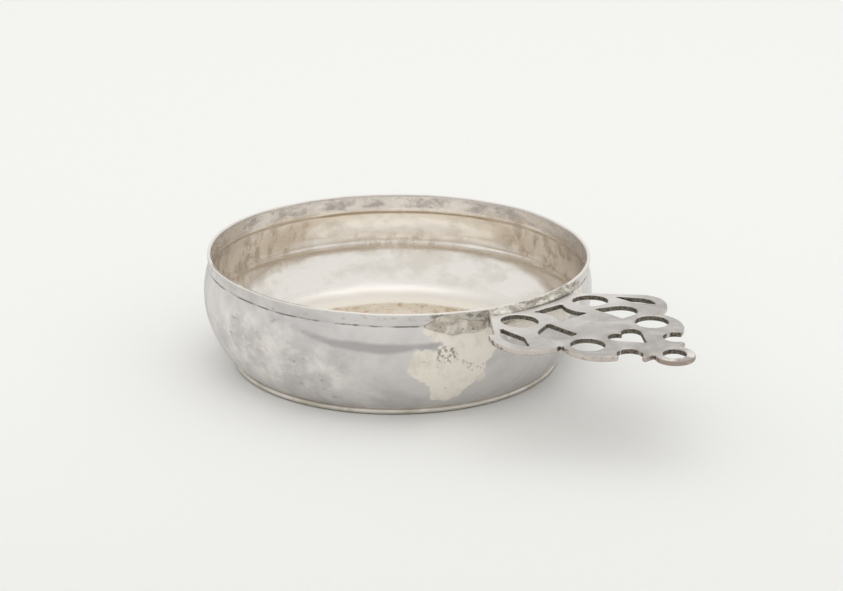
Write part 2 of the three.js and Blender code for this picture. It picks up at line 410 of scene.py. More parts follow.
@dataclass(frozen=True)
class Edge:
    """A ragged edge, in millimetres or in the measure of the zone that it cuts.

    It wanders to and fro by wander, in bays of the width size. The cover starts at the distance low
    and is full at high.
    """

    wander: float
    size: float
    low: float
    high: float

    def at(self, level: float) -> "Edge":
        """Gives the same edge, counted from a level."""
        return replace(self, low=level + self.low, high=level + self.high)


@dataclass(frozen=True)
class Band:
    """A band on the wall, in millimetres: its middle, half of its width, and its edge counted inwards."""

    middle: float
    half: float
    edge: Edge


@dataclass(frozen=True)
class Film:
    """A surface that lies over another, whole or in patches.

    It has an sRGB colour, a roughness, a rise in millimetres and a share of bare metal. A roughness
    or a share of None keeps what lies under it.
    """

    colour: str
    rough: float | None = None
    rise: float = 0.0
    metal: float | None = None
    patches: Patches | None = None


@dataclass
class Look:
    """What a finish has worked out so far.

    It holds the material's tree, the coordinates of its patterns, and the sockets for the colour,
    the roughness, the height in millimetres and the share of bare metal.
    """

    tree: bpy.types.NodeTree
    space: Socket
    colour: Socket
    rough: Socket
    height: Socket
    metal: Socket | float

    def patches(self, kind: Patches) -> Socket:
        """Adds irregular patches.

        Args:
            kind: Their size and how much they cover.

        Returns:
            The cover, from 0 to 1.
        """
        squeezed = add(self.tree, "ShaderNodeMapping", inputs={
            "Vector": self.space, "Location": (kind.shift,) * 3, "Scale": (1.0, 1.0, kind.stretch),
        }).outputs["Vector"]
        spots = add(self.tree, "ShaderNodeTexNoise", inputs={
            "Vector": squeezed, "Scale": 1 / (kind.size * MM), "Detail": PATCH_DETAIL,
            "Roughness": NOISE_ROUGHNESS,
        }).outputs["Fac"]
        return add(self.tree, "ShaderNodeMapRange", {"interpolation_type": "SMOOTHSTEP"}, {
            "Value": spots, "From Min": kind.low, "From Max": kind.high,
        }).outputs["Result"]

    def attribute(self, zone: Zone) -> Socket:
        """Reads the numbers that the mesh has under a zone's name."""
        return add(self.tree, "ShaderNodeAttribute", {"attribute_name": zone.value}).outputs["Fac"]

    def ragged(self, value: Socket, edge: Edge) -> Socket:
        """Turns a distance into a cover with a ragged edge.

        Args:
            value: The distance.
            edge: How ragged the edge is and where it lies.

        Returns:
            The cover, from 0 to 1.
        """
        bays = add(self.tree, "ShaderNodeTexNoise", inputs={
            "Vector": self.space, "Scale": 1 / (edge.size * MM), "Detail": EDGE_DETAIL,
            "Roughness": NOISE_ROUGHNESS,
        }).outputs["Fac"]
        swing = add(self.tree, "ShaderNodeMath", {"operation": "MULTIPLY_ADD"}, {
            0: bays, 1: edge.wander, 2: value,
        }).outputs[0]
        middle = edge.wander / 2
        return add(self.tree, "ShaderNodeMapRange", inputs={
            "Value": swing, "From Min": edge.low + middle, "From Max": edge.high + middle,
        }).outputs["Result"]

    def both(self, first: Socket, second: Socket) -> Socket:
        """Gives the cover where two covers lie over each other."""
        return add(self.tree, "ShaderNodeMath", {"operation": "MULTIPLY"}, {0: first, 1: second}).outputs[0]

    def within(self, level: Socket, band: Band) -> Socket:
        """Gives the cover of a band on the wall.

        Args:
            level: The level on the wall, in millimetres.
            band: The band.

        Returns:
            The cover, from 0 to 1.
        """
        off = add(self.tree, "ShaderNodeMath", {"operation": "SUBTRACT"}, {0: level, 1: band.middle})
        away = add(self.tree, "ShaderNodeMath", {"operation": "ABSOLUTE"}, {0: off.outputs[0]})
        inwards = add(self.tree, "ShaderNodeMath", {"operation": "SUBTRACT"}, {
            0: band.half, 1: away.outputs[0],
        }).outputs[0]
        return self.ragged(inwards, band.edge)

    def lay(self, cover: Socket, film: Film) -> None:
        """Lays another surface over this one.

        Args:
            cover: Where it may lie, from 0 to 1.
            film: The surface. One that has patches lies only in them.
        """
        if film.patches:
            cover = self.both(cover, self.patches(film.patches))
        self.colour = add(self.tree, "ShaderNodeMix", {"data_type": "RGBA"}, {
            "Factor": cover, 6: self.colour, 7: linear(film.colour),
        }).outputs[2]
        if film.rough is not None:
            self.rough = add(self.tree, "ShaderNodeMix", {"data_type": "FLOAT"}, {
                "Factor": cover, 2: self.rough, 3: film.rough,
            }).outputs[0]
        if film.metal is not None:
            self.metal = add(self.tree, "ShaderNodeMix", {"data_type": "FLOAT"}, {
                "Factor": cover, 2: self.metal, 3: film.metal,
            }).outputs[0]
        if film.rise:
            self.height = add(self.tree, "ShaderNodeMath", {"operation": "MULTIPLY_ADD"}, {
                0: cover, 1: film.rise, 2: self.height,
            }).outputs[0]


@dataclass(frozen=True)
class Silver:
    """Old sterling silver: what its making and its wear give the eye.

    Silver keeps a warm white colour in its worn high spots and darkens to brown grey where sulphide
    stays in the hollows. A thin film dims it, so its share of bare metal may lie under 1. Sizes are
    in millimetres. The real polishing grain is finer than a pixel, so it is drawn just coarse enough
    to show. The stretch draws clouds and marks out lengthwise along a seam.
    """

    name: str
    bright: str
    dull: str
    cloud_size: float
    cloud_share: float
    smoothest: float
    roughest: float
    mark_size: float
    mark_depth: float
    grain_size: float
    grain_depth: float
    pit_size: float = 0.0
    pit_share: float = 0.0
    pit_fade: float = 0.07
    pit_colour: str = "#6d675e"
    pit_depth: float = 0.1
    bare: float = 1.0
    stretch: float = 1.0
    cloud_detail: float = 4.0
    cloud_roughness: float = 0.62
    cloud_swirl: float = 0.6
    mark_detail: float = 2.0
    grain_detail: float = 3.0

    def build(self) -> bpy.types.Material:
        """Makes the material.

        Returns:
            The new node material.
        """
        material = bpy.data.materials.new(self.name)
        material.use_nodes = True
        tree = material.node_tree
        tree.nodes.clear()
        look = self.base(tree)
        self.zones(look)
        bump = add(tree, "ShaderNodeBump", inputs={"Distance": MM, "Height": look.height})
        surface = add(tree, "ShaderNodeBsdfPrincipled", inputs={
            "Base Color": look.colour, "Metallic": look.metal, "Roughness": look.rough,
            "Normal": bump.outputs["Normal"],
        })
        add(tree, "ShaderNodeOutputMaterial", inputs={"Surface": surface.outputs["BSDF"]})
        return material

    def base(self, tree: bpy.types.NodeTree) -> Look:
        """Adds the metal itself: clouds of tarnish, tool marks, grain and pits.

        Args:
            tree: The material's tree.

        Returns:
            The look of the bare metal.
        """
        space = add(tree, "ShaderNodeTexCoord").outputs["Object"]
        drawn = add(tree, "ShaderNodeMapping", inputs={
            "Vector": space, "Scale": (1.0, 1.0, self.stretch),
        }).outputs["Vector"]
        clouds = add(tree, "ShaderNodeTexNoise", inputs={
            "Vector": drawn, "Scale": 1 / (self.cloud_size * MM), "Detail": self.cloud_detail,
            "Roughness": self.cloud_roughness, "Distortion": self.cloud_swirl,
        }).outputs["Fac"]
        marks = add(tree, "ShaderNodeTexNoise", inputs={
            "Vector": drawn, "Scale": 1 / (self.mark_size * MM), "Detail": self.mark_detail,
        }).outputs["Fac"]
        grain = add(tree, "ShaderNodeTexNoise", inputs={
            "Vector": space, "Scale": 1 / (self.grain_size * MM), "Detail": self.grain_detail,
        }).outputs["Fac"]
        low = NOISE_MIDDLE - self.cloud_share / 2
        cloudy = add(tree, "ShaderNodeMapRange", {"interpolation_type": "SMOOTHSTEP"}, {
            "Value": clouds, "From Min": low, "From Max": low + self.cloud_share,
        }).outputs["Result"]
        colour = add(tree, "ShaderNodeMix", {"data_type": "RGBA"}, {
            "Factor": cloudy, 6: linear(self.dull), 7: linear(self.bright),
        }).outputs[2]
        rough = add(tree, "ShaderNodeMapRange", inputs={
            "Value": cloudy, "To Min": self.roughest, "To Max": self.smoothest,
        }).outputs["Result"]
        height = add(tree, "ShaderNodeMath", {"operation": "MULTIPLY"}, {
            0: marks, 1: self.mark_depth,
        }).outputs[0]
        height = add(tree, "ShaderNodeMath", {"operation": "MULTIPLY_ADD"}, {
            0: grain, 1: self.grain_depth, 2: height,
        }).outputs[0]
        look = Look(tree, space, colour, rough, height, self.bare)
        if self.pit_size:
            start = NOISE_MIDDLE - self.pit_share
            pits = look.patches(Patches(self.pit_size, start, start - self.pit_fade))
            look.lay(pits, Film(self.pit_colour, rise=-self.pit_depth))
        return look

    def zones(self, look: Look) -> None:
        """Leaves the metal as it is: a finish with zones lays them here."""


@dataclass(frozen=True)
class SheetSilver(Silver):
    """Raised sheet. Its inside is cleaner and warmer, its outside has stains, rubs and solder."""

    inside: Film = Film("#ebe7e2", 0.15, metal=0.88)
    inside_dull: Film = Film("#ddd7cf", 0.22, patches=Patches(14.0, 0.42, 0.66, 1.8))
    upper_wall_edge: Edge = Edge(1.6, 10.0, 19.4, 21.0)
    upper_wall: Film = Film("#f9f5f0", 0.12, metal=1.0, patches=Patches(9.0, 0.3, 0.56, 1.4))
    low_wall_band: Band = Band(0.0, 5.4, Edge(1.4, 12.0, -0.6, 0.9))
    low_wall: Film = Film("#ebe7e2", 0.36, metal=0.75)

    inner_collar_edge: Edge = Edge(1.2, 6.0, 0.6, 1.6)
    inner_collar: Film = Film("#f5f1ed", 0.22, metal=0.8)
    haze: Film = Film("#c2bcb9", 0.4, patches=Patches(7.0, 0.42, 0.66, 1.8))
    # Painted shade: a brown line just under the ridge of the inner crease, where the belly below it lies in
    # shade
    inner_crease_band: Band = Band(INNER_CREASE_LEVEL - 0.6, 0.5, Edge(0.6, 8.0, -0.3, 0.3))
    inner_crease: Film = Film("#b8a892", 0.4, patches=Patches(12.0, 0.15, 0.42))

    # Tarnish and painted reflected shade: the brown film lies on the two ends of the inner wall, where the
    # wall shows darker warm reflections, and in a patch on its back
    tarnish_edge: Edge = Edge(12.0, 7.0, -3.0, 5.0)
    tarnish: Film = Film("#e3dacf", 0.2, metal=0.72)
    tarnish_streaks: Film = Film("#c4b8a8", 0.3, patches=Patches(4.5, 0.47, 0.6, 0.6, 0.2))
    # Painted shade: a darker band just under the ridge that the last course of blows left on the inner wall
    groove_band: Band = Band(16.6, 0.8, Edge(1.0, 9.0, -0.5, 0.7))
    groove: Film = Film("#c4b8a8", 0.3, patches=Patches(16.0, 0.2, 0.55))

    # Painted highlight: a near-white band on the inner corner where the floor turns into the wall
    wall_foot_band: Band = Band(1.5, 0.7, Edge(0.4, 8.0, -0.4, 0.5))
    wall_foot: Film = Film("#faf5ec", 0.4, metal=0.35)
    floor_band: Band = Band(0.0, 0.9, Edge(0.3, 5.0, -0.25, 0.06))
    floor_breaks: Patches = Patches(16.0, 0.2, 0.5)
    floor: Film = Film("#e0d6c5", 0.45, metal=0.7)
    floor_stain: Film = Film("#c0a27c", 0.5, patches=Patches(2.6, 0.48, 0.72))

    rub_edge: Edge = Edge(14.0, 12.0, -6.0, 4.0)
    wide_rubs: Film = Film("#ebe6e2", 0.5, metal=0.7, patches=Patches(8.0, 0.38, 0.74))
    small_rubs: Film = Film("#ebe6e2", 0.55, metal=0.6, patches=Patches(2.2, 0.5, 0.85, 1.3))
    rub_stain: Film = Film("#98928a", 0.5, patches=Patches(4.0, 0.62, 0.76, 1.4, 0.3))
    # Painted shade: a duller band below the shoulder outside, where the wall's reflection darkens
    shoulder_edge: Edge = Edge(1.6, 9.0, -0.2, 0.9)
    shoulder: Film = Film("#b2aeaf", 0.42)

    flood_edge: Edge = Edge(7.0, 4.0, -0.3, 0.5)
    flood: Film = Film("#ede7dd", 0.55, 0.05, 0.3)
    flood_shade: Film = Film("#ddd6ca", 0.55, patches=Patches(6.0, 0.46, 0.7))
    flood_stain: Film = Film("#98928a", 0.6, patches=Patches(1.5, 0.66, 0.72, 1.0, 0.1))
    torn_edge: Edge = Edge(2.0, 2.0, -0.3, 0.3)
    torn: Film = Film("#a39c90", 0.6, -0.05, patches=Patches(1.3, 0.47, 0.62))
    joint_edge: Edge = Edge(5.0, 5.0, -0.4, 0.8)
    joint: Film = Film("#cdc8be", 0.5)
    joint_pits: Film = Film("#98928a", 0.6, -0.12, patches=Patches(2.2, 0.5, 0.62, 1.5))

    collar_edge: Edge = Edge(0.3, 3.0, 0.0, 0.3)
    collar_stain: Film = Film("#b4ada2", 0.5, patches=Patches(3.0, 0.54, 0.74, 2.2))
    # Painted shade: a dark line in the outer crease, over the dark that the crease's shape gives
    crease_band: Band = Band(CREASE_LEVEL, 0.24, Edge(0.4, 2.0, -0.1, 0.14))
    crease: Film = Film("#7a736a", 0.6, patches=Patches(5.0, 0.36, 0.62))
    # Painted shade: a dull line in the notch between the wall and the foot wire
    foot_band: Band = Band(1.9, 0.3, Edge(0.5, 5.0, -0.3, 0.5))
    foot: Film = Film("#c6bcae", 0.5, metal=0.4, patches=Patches(14.0, 0.35, 0.7))
    # Painted highlight: the lip's top is paler, where it reflects the bright surround
    lip_edge: Edge = Edge(0.3, 4.0, -0.5, -0.2)
    lip: Film = Film("#e6e1db", 0.4, metal=0.55)
    lip_line_band: Band = Band(RIM_LEVEL, 0.06, Edge(0.06, 2.0, -0.02, 0.02))
    lip_line_reach: Edge = Edge(4.0, 6.0, -11.0, -9.0)
    lip_line: Film = Film("#99928a", 0.5, patches=Patches(11.0, 0.4, 0.5, 1.0, 0.4))

    def zones(self, look: Look) -> None:
        """Lays the inside and the zones of the wall over the sheet.

        Args:
            look: The look of the bare sheet, which is changed.
        """
        inner = look.attribute(Zone.INSIDE)
        outer = add(look.tree, "ShaderNodeMath", {"operation": "SUBTRACT"}, {0: 1.0, 1: inner}).outputs[0]
        level = look.attribute(Zone.LEVEL)
        self.lay_inside(look, inner, level)
        self.lay_tarnish(look, inner, level)
        self.lay_floor(look, inner, level)
        self.lay_rubs(look)
        self.lay_solder(look)
        self.lay_lines(look, outer, level)
        self.lay_lip(look, level)

    def lay_inside(self, look: Look, inner: Socket, level: Socket) -> None:
        """Lays the polish inside, the haze that no cloth rubs off the inside of the collar, and the painted
        shade under the inner crease.

        Args:
            look: The look so far, which is changed.
            inner: The cover of the inner side.
            level: The level on the wall, in millimetres.
        """
        look.lay(inner, self.inside)
        look.lay(inner, self.inside_dull)
        look.lay(look.both(inner, look.ragged(level, self.upper_wall_edge)), self.upper_wall)
        look.lay(look.both(inner, look.within(level, self.low_wall_band)), self.low_wall)
        collar = look.both(inner, look.ragged(level, self.inner_collar_edge.at(INNER_CREASE_LEVEL)))
        look.lay(collar, self.inner_collar)
        look.lay(collar, self.haze)
        # Painted shade under the inner crease
        look.lay(look.both(inner, look.within(level, self.inner_crease_band)), self.inner_crease)

    def lay_tarnish(self, look: Look, inner: Socket, level: Socket) -> None:
        """Lays the brown film of tarnish and painted reflected shade on stretches of the inner wall, and the
        painted shade under its ridge.

        Args:
            look: The look so far, which is changed.
            inner: The cover of the inner side.
            level: The level on the wall, in millimetres.
        """
        # Tarnish, with painted reflected shade at the ends of the wall
        film = look.ragged(look.attribute(Zone.TARNISH), self.tarnish_edge)
        look.lay(film, self.tarnish)
        look.lay(film, self.tarnish_streaks)
        # Painted shade under the ridge
        look.lay(look.both(inner, look.within(level, self.groove_band)), self.groove)

    def lay_floor(self, look: Look, inner: Socket, level: Socket) -> None:
        """Lays the painted highlight on the inner corner at the foot of the wall, and the tan film and
        stains that food left on the floor.

        Args:
            look: The look so far, which is changed.
            inner: The cover of the inner side.
            level: The level on the wall, in millimetres.
        """
        # Painted highlight on the inner corner
        look.lay(look.both(inner, look.within(level, self.wall_foot_band)), self.wall_foot)
        floor = look.both(inner, look.within(level, self.floor_band))
        floor = look.both(floor, look.patches(self.floor_breaks))
        look.lay(floor, self.floor)
        look.lay(floor, self.floor_stain)

    def lay_rubs(self, look: Look) -> None:
        """Lays the bright scuffs of the rubbed area, and a band of painted shade under the shoulder.

        Args:
            look: The look so far, which is changed.
        """
        area = look.ragged(look.attribute(Zone.RUBBED), self.rub_edge)
        for film in (self.wide_rubs, self.small_rubs, self.rub_stain):
            look.lay(area, film)
        # Painted shade band under the shoulder
        look.lay(look.ragged(look.attribute(Zone.BAND), self.shoulder_edge), self.shoulder)

    def lay_solder(self, look: Look) -> None:
        """Lays the cream film of solder that ran down the wall, and the pitted skin round the joint.

        Args:
            look: The look so far, which is changed.
        """
        flood = look.ragged(look.attribute(Zone.FLOOD), self.flood_edge)
        for film in (self.flood, self.flood_shade, self.flood_stain):
            look.lay(flood, film)
        look.lay(look.ragged(look.attribute(Zone.TORN), self.torn_edge), self.torn)
        joint = look.ragged(look.attribute(Zone.JOINT), self.joint_edge)
        look.lay(joint, self.joint)
        look.lay(joint, self.joint_pits)

    def lay_lines(self, look: Look, outer: Socket, level: Socket) -> None:
        """Lays the stains on the collar, and the lines of painted shade in the crease and along the foot
        wire.

        Args:
            look: The look so far, which is changed.
            outer: The cover of the outer side.
            level: The level on the wall, in millimetres.
        """
        collar = look.both(outer, look.ragged(level, self.collar_edge.at(CREASE_LEVEL)))
        look.lay(collar, self.collar_stain)
        # Painted shade in the outer crease and in the notch above the foot wire
        look.lay(look.both(outer, look.within(level, self.crease_band)), self.crease)
        look.lay(look.both(outer, look.within(level, self.foot_band)), self.foot)

    def lay_lip(self, look: Look, level: Socket) -> None:
        """Lays the painted highlight on the lip's top, and the broken dark line on its top near the rubbed
        area.

        Args:
            look: The look so far, which is changed.
            level: The level on the wall, in millimetres.
        """
        # Painted highlight on the lip's top
        look.lay(look.ragged(level, self.lip_edge.at(RIM_LEVEL)), self.lip)
        near = look.ragged(look.attribute(Zone.RUBBED), self.lip_line_reach)
        look.lay(look.both(look.within(level, self.lip_line_band), near), self.lip_line)


@dataclass(frozen=True)
class PlateSilver(Silver):
    """Cast plate, with dark tarnish and painted shade on the sawn walls of its openings, painted shade in
    its notches, a paler painted reflection near its root that darkens towards the tip, and a worn, bright
    tip.
    """

    # Painted reflection: the plate is paler near its root
    root_edge: Edge = Edge(0.3, 9.0, 0.4, 0.05)
    root: Film = Film("#e4e0dc", 0.42)
    # Painted shade and mottling: darker patches that spread towards the tip
    far: Film = Film("#a09993", 0.45, patches=Patches(10.0, 0.3, 0.7))
    tip: Film = Film("#f0ece8", 0.3, patches=Patches(4.0, 0.4, 0.6))
    rim: Film = Film("#cdc4bc", 0.45)
    rim_stain: Film = Film("#84766b", 0.55, patches=Patches(2.4, 0.5, 0.64))
    far_rim_edge: Edge = Edge(0.3, 6.0, 0.72, 0.92)
    far_rim: Film = Film("#a3948a", 0.5, patches=Patches(5.0, 0.36, 0.56))
    # Painted shade: dark notches where the outline turns inwards
    notch_edge: Edge = Edge(0.5, 1.0, 0.25, 0.8)
    notch: Film = Film("#5d554b", 0.6)
    # Tarnish and painted shade: dark walls that face nearby metal, in the openings and in narrow bays
    sawn_edge: Edge = Edge(0.5, 1.5, 0.2, 0.7)
    sawn: Film = Film("#7b756a", 0.55)
    sawn_shade: Film = Film("#524c43", 0.6, patches=Patches(0.9, 0.42, 0.62))

    def zones(self, look: Look) -> None:
        """Lays the tarnish, the wear, and the painted reflection and shade over the plate.

        Args:
            look: The look of the bare plate, which is changed.
        """
        outward = look.attribute(Zone.OUTWARD)
        rim = look.attribute(Zone.EDGE)
        # Painted reflection near the root, and painted shade with mottling towards the tip
        look.lay(look.ragged(outward, self.root_edge), self.root)
        look.lay(outward, self.far)
        look.lay(look.attribute(Zone.TIP), self.tip)
        look.lay(rim, self.rim)
        look.lay(rim, self.rim_stain)
        look.lay(look.both(rim, look.ragged(outward, self.far_rim_edge)), self.far_rim)
        # Painted shade in the notches
        look.lay(look.ragged(look.attribute(Zone.NOTCH), self.notch_edge), self.notch)
        # Tarnish and painted shade on the walls that face nearby metal
        sawn = look.ragged(look.attribute(Zone.SAWN), self.sawn_edge)
        look.lay(sawn, self.sawn)
        look.lay(sawn, self.sawn_shade)


@dataclass(frozen=True)
class WireSilver(Silver):
    """Drawn wire, with old polish and a painted contact shadow along the line where it meets the table."""

    # Painted shadow: a dark line along the wire's underside, where it meets the table
    grime_edge: Edge = Edge(0.3, 4.0, 0.5, 0.25)
    grime: Film = Film("#6f695f", 0.6, metal=0.4)

    def zones(self, look: Look) -> None:
        """Lays the painted contact shadow along the foot's underside.

        Args:
            look: The look of the bare wire, which is changed.
        """
        # Painted contact shadow
        look.lay(look.ragged(look.attribute(Zone.LEVEL), self.grime_edge), self.grime)


# Sheet raised with a hammer and planished: broad soft clouds and shallow marks under a dull polish
PLANISHED_SHEET = SheetSilver(
    name="sterling_silver_planished_sheet", bright="#d8d5d3", dull="#c4c0c0", bare=0.65,
    cloud_size=26.0, cloud_share=0.3, smoothest=0.38, roughest=0.5,
    mark_size=5.0, mark_depth=0.05, grain_size=0.7, grain_depth=0.006,
)
# Plate cast in sand, sawn and filed: a satin top, with small pits left from the casting
CAST_PLATE = PlateSilver(
    name="sterling_silver_cast_and_filed", bright="#d0ccca", dull="#b4b0ad", bare=0.75,
    cloud_size=9.0, cloud_share=0.35, smoothest=0.3, roughest=0.45,
    mark_size=2.2, mark_depth=0.03, grain_size=0.5, grain_depth=0.015,
    pit_size=0.9, pit_share=0.16,
)
# Drawn wire, handled least: warmer and paler than the wall, with a soft gloss
DRAWN_WIRE = WireSilver(
    name="sterling_silver_drawn_wire", bright="#dcd7cf", dull="#c3bcb0", bare=0.65,
    cloud_size=12.0, cloud_share=0.3, smoothest=0.32, roughest=0.45,
    mark_size=3.0, mark_depth=0.04, grain_size=0.6, grain_depth=0.01,
)
# Hard solder that melted and froze: lumpy, pitted, and drawn out along the joint
HARD_SOLDER = Silver(
    name="silver_solder_pitted", bright="#e2ded5", dull="#a39c91", stretch=3.0,
    cloud_size=3.6, cloud_share=0.3, smoothest=0.35, roughest=0.6,
    mark_size=2.4, mark_depth=0.16, grain_size=0.4, grain_depth=0.03,
    pit_size=0.8, pit_share=0.12,
)
# Thin sheet hammered down over the crease: small dents, scratches and a warm dull film
HAMMERED_PATCH = Silver(
    name="sterling_silver_hammered_patch", bright="#dcd5cb", dull="#b5ada2",
    cloud_size=3.5, cloud_share=0.3, smoothest=0.35, roughest=0.55,
    mark_size=1.6, mark_depth=0.1, grain_size=0.5, grain_depth=0.03,
    pit_size=0.9, pit_share=0.12,
)


@dataclass
class TurnedPiece:
    """A profile turned about the bowl's axis by a tree of geometry nodes.

    The axis is the bowl's x in metres, and the other sizes are in millimetres. Dents and waves move
    the surface in and out, and up the wall they lie course times closer than round it. The edge
    wanders up and down and leans across the photograph. The whole piece is shifted that way too, by
    one amount at the table and another at the rim.
    """

    axis: float
    turns: int = 320
    dent_size: float = 11.0
    dent_depth: float = 0.0
    dent_detail: float = 1.0
    wave_size: float = 34.0
    wave_depth: float = 0.0
    wander_size: float = 26.0
    wander_depth: float = 0.0
    wander_detail: float = 2.0
    course: float = 1.0
    lean: float = 0.0
    base_shift: float = 0.0
    rim_shift: float = 0.0
    seed: float = 3.0

    def tree(self, name: str) -> bpy.types.NodeTree:
        """Makes the tree that turns a profile and gives it its hand-made unevenness.

        Args:
            name: The tree's name.

        Returns:
            The geometry node tree.
        """
        tree = bpy.data.node_groups.new(name, "GeometryNodeTree")
        kinds = {
            "Geometry": "NodeSocketGeometry", "Turns": "NodeSocketInt", "Material": "NodeSocketMaterial",
        }
        for socket in ("Geometry", "Turns", "Guide Radius", "Height", "Axis", "Dent Size", "Dent Depth",
                       "Wave Size", "Wave Depth", "Wander Size", "Wander Depth", "Course", "Aside X",
                       "Aside Y", "Lean", "Shift Low", "Shift High", "Seed", "Material"):
            kind = kinds.get(socket, "NodeSocketFloat")
            tree.interface.new_socket(socket, in_out="INPUT", socket_type=kind)
        tree.interface.new_socket("Geometry", in_out="OUTPUT", socket_type="NodeSocketGeometry")
        given = add(tree, "NodeGroupInput").outputs
        position = add(tree, "GeometryNodeInputPosition").outputs["Position"]
        offset = add(tree, "ShaderNodeVectorMath", {"operation": "ADD"}, {
            0: self.dented(tree, given, position), 1: self.leaned(tree, given, position),
        })
        moved = add(tree, "GeometryNodeSetPosition", inputs={
            "Geometry": self.swept(tree, given), "Offset": offset.outputs["Vector"],
        })
        smooth = add(tree, "GeometryNodeSetShadeSmooth", inputs={0: moved.outputs["Geometry"]})
        real = add(tree, "GeometryNodeRealizeInstances", inputs={"Geometry": smooth.outputs[0]})
        dressed = add(tree, "GeometryNodeSetMaterial", inputs={
            "Geometry": real.outputs["Geometry"], "Material": given["Material"],
        })
        add(tree, "NodeGroupOutput", inputs={"Geometry": dressed.outputs["Geometry"]})
        return tree

    def swept(self, tree: bpy.types.NodeTree, given: bpy.types.NodeOutputs) -> Socket:
        """Adds the nodes that sweep the profile round a circle and close its poles.

        Args:
            tree: The tree that gets the nodes.
            given: The tree's inputs.

        Returns:
            The turned surface.
        """
        profile = add(tree, "GeometryNodeMeshToCurve", inputs={"Mesh": given["Geometry"]})
        guide = add(tree, "GeometryNodeCurvePrimitiveCircle", inputs={
            "Resolution": given["Turns"], "Radius": given["Guide Radius"],
        })
        turned = add(tree, "GeometryNodeCurveToMesh", inputs={
            "Curve": guide.outputs["Curve"], "Profile Curve": profile.outputs["Curve"],
        })
        return add(tree, "GeometryNodeMergeByDistance", inputs={
            "Geometry": turned.outputs["Mesh"], "Distance": WELD,
        }).outputs["Geometry"]

    def dented(self, tree: bpy.types.NodeTree, given: bpy.types.NodeOutputs, position: Socket) -> Socket:
        """Adds the nodes for dents and waves, which move points to and from the middle of the mouth.

        Args:
            tree: The tree that gets the nodes.
            given: The tree's inputs.
            position: Where the surface's points are.

        Returns:
            How far each point moves.
        """
        mouth = add(tree, "ShaderNodeCombineXYZ", inputs={"Z": given["Height"]}).outputs[0]
        from_mouth = add(tree, "ShaderNodeVectorMath", {"operation": "SUBTRACT"}, {0: position, 1: mouth})
        outward = add(tree, "ShaderNodeVectorMath", {"operation": "NORMALIZE"}, {
            0: from_mouth.outputs["Vector"],
        }).outputs["Vector"]
        courses = add(tree, "ShaderNodeCombineXYZ", inputs={"X": 1.0, "Y": 1.0, "Z": given["Course"]})
        hammered = add(tree, "ShaderNodeVectorMath", {"operation": "MULTIPLY"}, {
            0: position, 1: courses.outputs[0],
        }).outputs["Vector"]
        depth = 0.0
        for size, amount in (("Dent Size", "Dent Depth"), ("Wave Size", "Wave Depth")):
            scale = add(tree, "ShaderNodeMath", {"operation": "DIVIDE"}, {0: 1.0, 1: given[size]})
            swell = add(tree, "ShaderNodeTexNoise", {"noise_dimensions": "4D"}, {
                "Vector": hammered, "W": given["Seed"], "Scale": scale.outputs[0],
                "Detail": self.dent_detail,
            })
            centred = add(tree, "ShaderNodeMath", {"operation": "SUBTRACT"}, {
                0: swell.outputs["Fac"], 1: NOISE_MIDDLE,
            })
            depth = add(tree, "ShaderNodeMath", {"operation": "MULTIPLY_ADD"}, {
                0: centred.outputs[0], 1: given[amount], 2: depth,
            }).outputs[0]
        return add(tree, "ShaderNodeVectorMath", {"operation": "SCALE"}, {
            0: outward, "Scale": depth,
        }).outputs["Vector"]

    def leaned(self, tree: bpy.types.NodeTree, given: bpy.types.NodeOutputs, position: Socket) -> Socket:
        """Adds the nodes that tilt and wander the edge, and place the piece on its axis.

        Args:
            tree: The tree that gets the nodes.
            given: The tree's inputs.
            position: Where the surface's points are.

        Returns:
            How far each point moves.
        """
        level = add(tree, "ShaderNodeSeparateXYZ", inputs={0: position}).outputs["Z"]
        share = add(tree, "ShaderNodeMath", {"operation": "DIVIDE"}, {
            0: level, 1: given["Height"],
        }).outputs[0]
        aside = add(tree, "ShaderNodeCombineXYZ", inputs={
            "X": given["Aside X"], "Y": given["Aside Y"],
        }).outputs[0]
        out = add(tree, "ShaderNodeVectorMath", {"operation": "DOT_PRODUCT"}, {
            0: position, 1: aside,
        }).outputs["Value"]
        around = add(tree, "ShaderNodeVectorMath", {"operation": "MULTIPLY"}, {
            0: position, 1: (1.0, 1.0, 0.0),
        })
        pitch = add(tree, "ShaderNodeMath", {"operation": "DIVIDE"}, {0: 1.0, 1: given["Wander Size"]})
        swell = add(tree, "ShaderNodeTexNoise", {"noise_dimensions": "4D"}, {
            "Vector": around.outputs["Vector"], "W": given["Seed"], "Scale": pitch.outputs[0],
            "Detail": self.wander_detail,
        })
        centred = add(tree, "ShaderNodeMath", {"operation": "SUBTRACT"}, {
            0: swell.outputs["Fac"], 1: NOISE_MIDDLE,
        })
        wander = add(tree, "ShaderNodeMath", {"operation": "MULTIPLY"}, {
            0: centred.outputs[0], 1: given["Wander Depth"],
        })
        tilt = add(tree, "ShaderNodeMath", {"operation": "MULTIPLY_ADD"}, {
            0: out, 1: given["Lean"], 2: wander.outputs[0],
        })
        rise = add(tree, "ShaderNodeMath", {"operation": "MULTIPLY"}, {0: tilt.outputs[0], 1: share})
        lift = add(tree, "ShaderNodeCombineXYZ", inputs={"X": given["Axis"], "Z": rise.outputs[0]})
        amount = add(tree, "ShaderNodeMix", {"data_type": "FLOAT", "clamp_factor": False}, {
            "Factor": share, 2: given["Shift Low"], 3: given["Shift High"],
        })
        shifted = add(tree, "ShaderNodeVectorMath", {"operation": "SCALE"}, {
            0: aside, "Scale": amount.outputs[0],
        })
        return add(tree, "ShaderNodeVectorMath", {"operation": "ADD"}, {
            0: lift.outputs[0], 1: shifted.outputs["Vector"],
        }).outputs["Vector"]

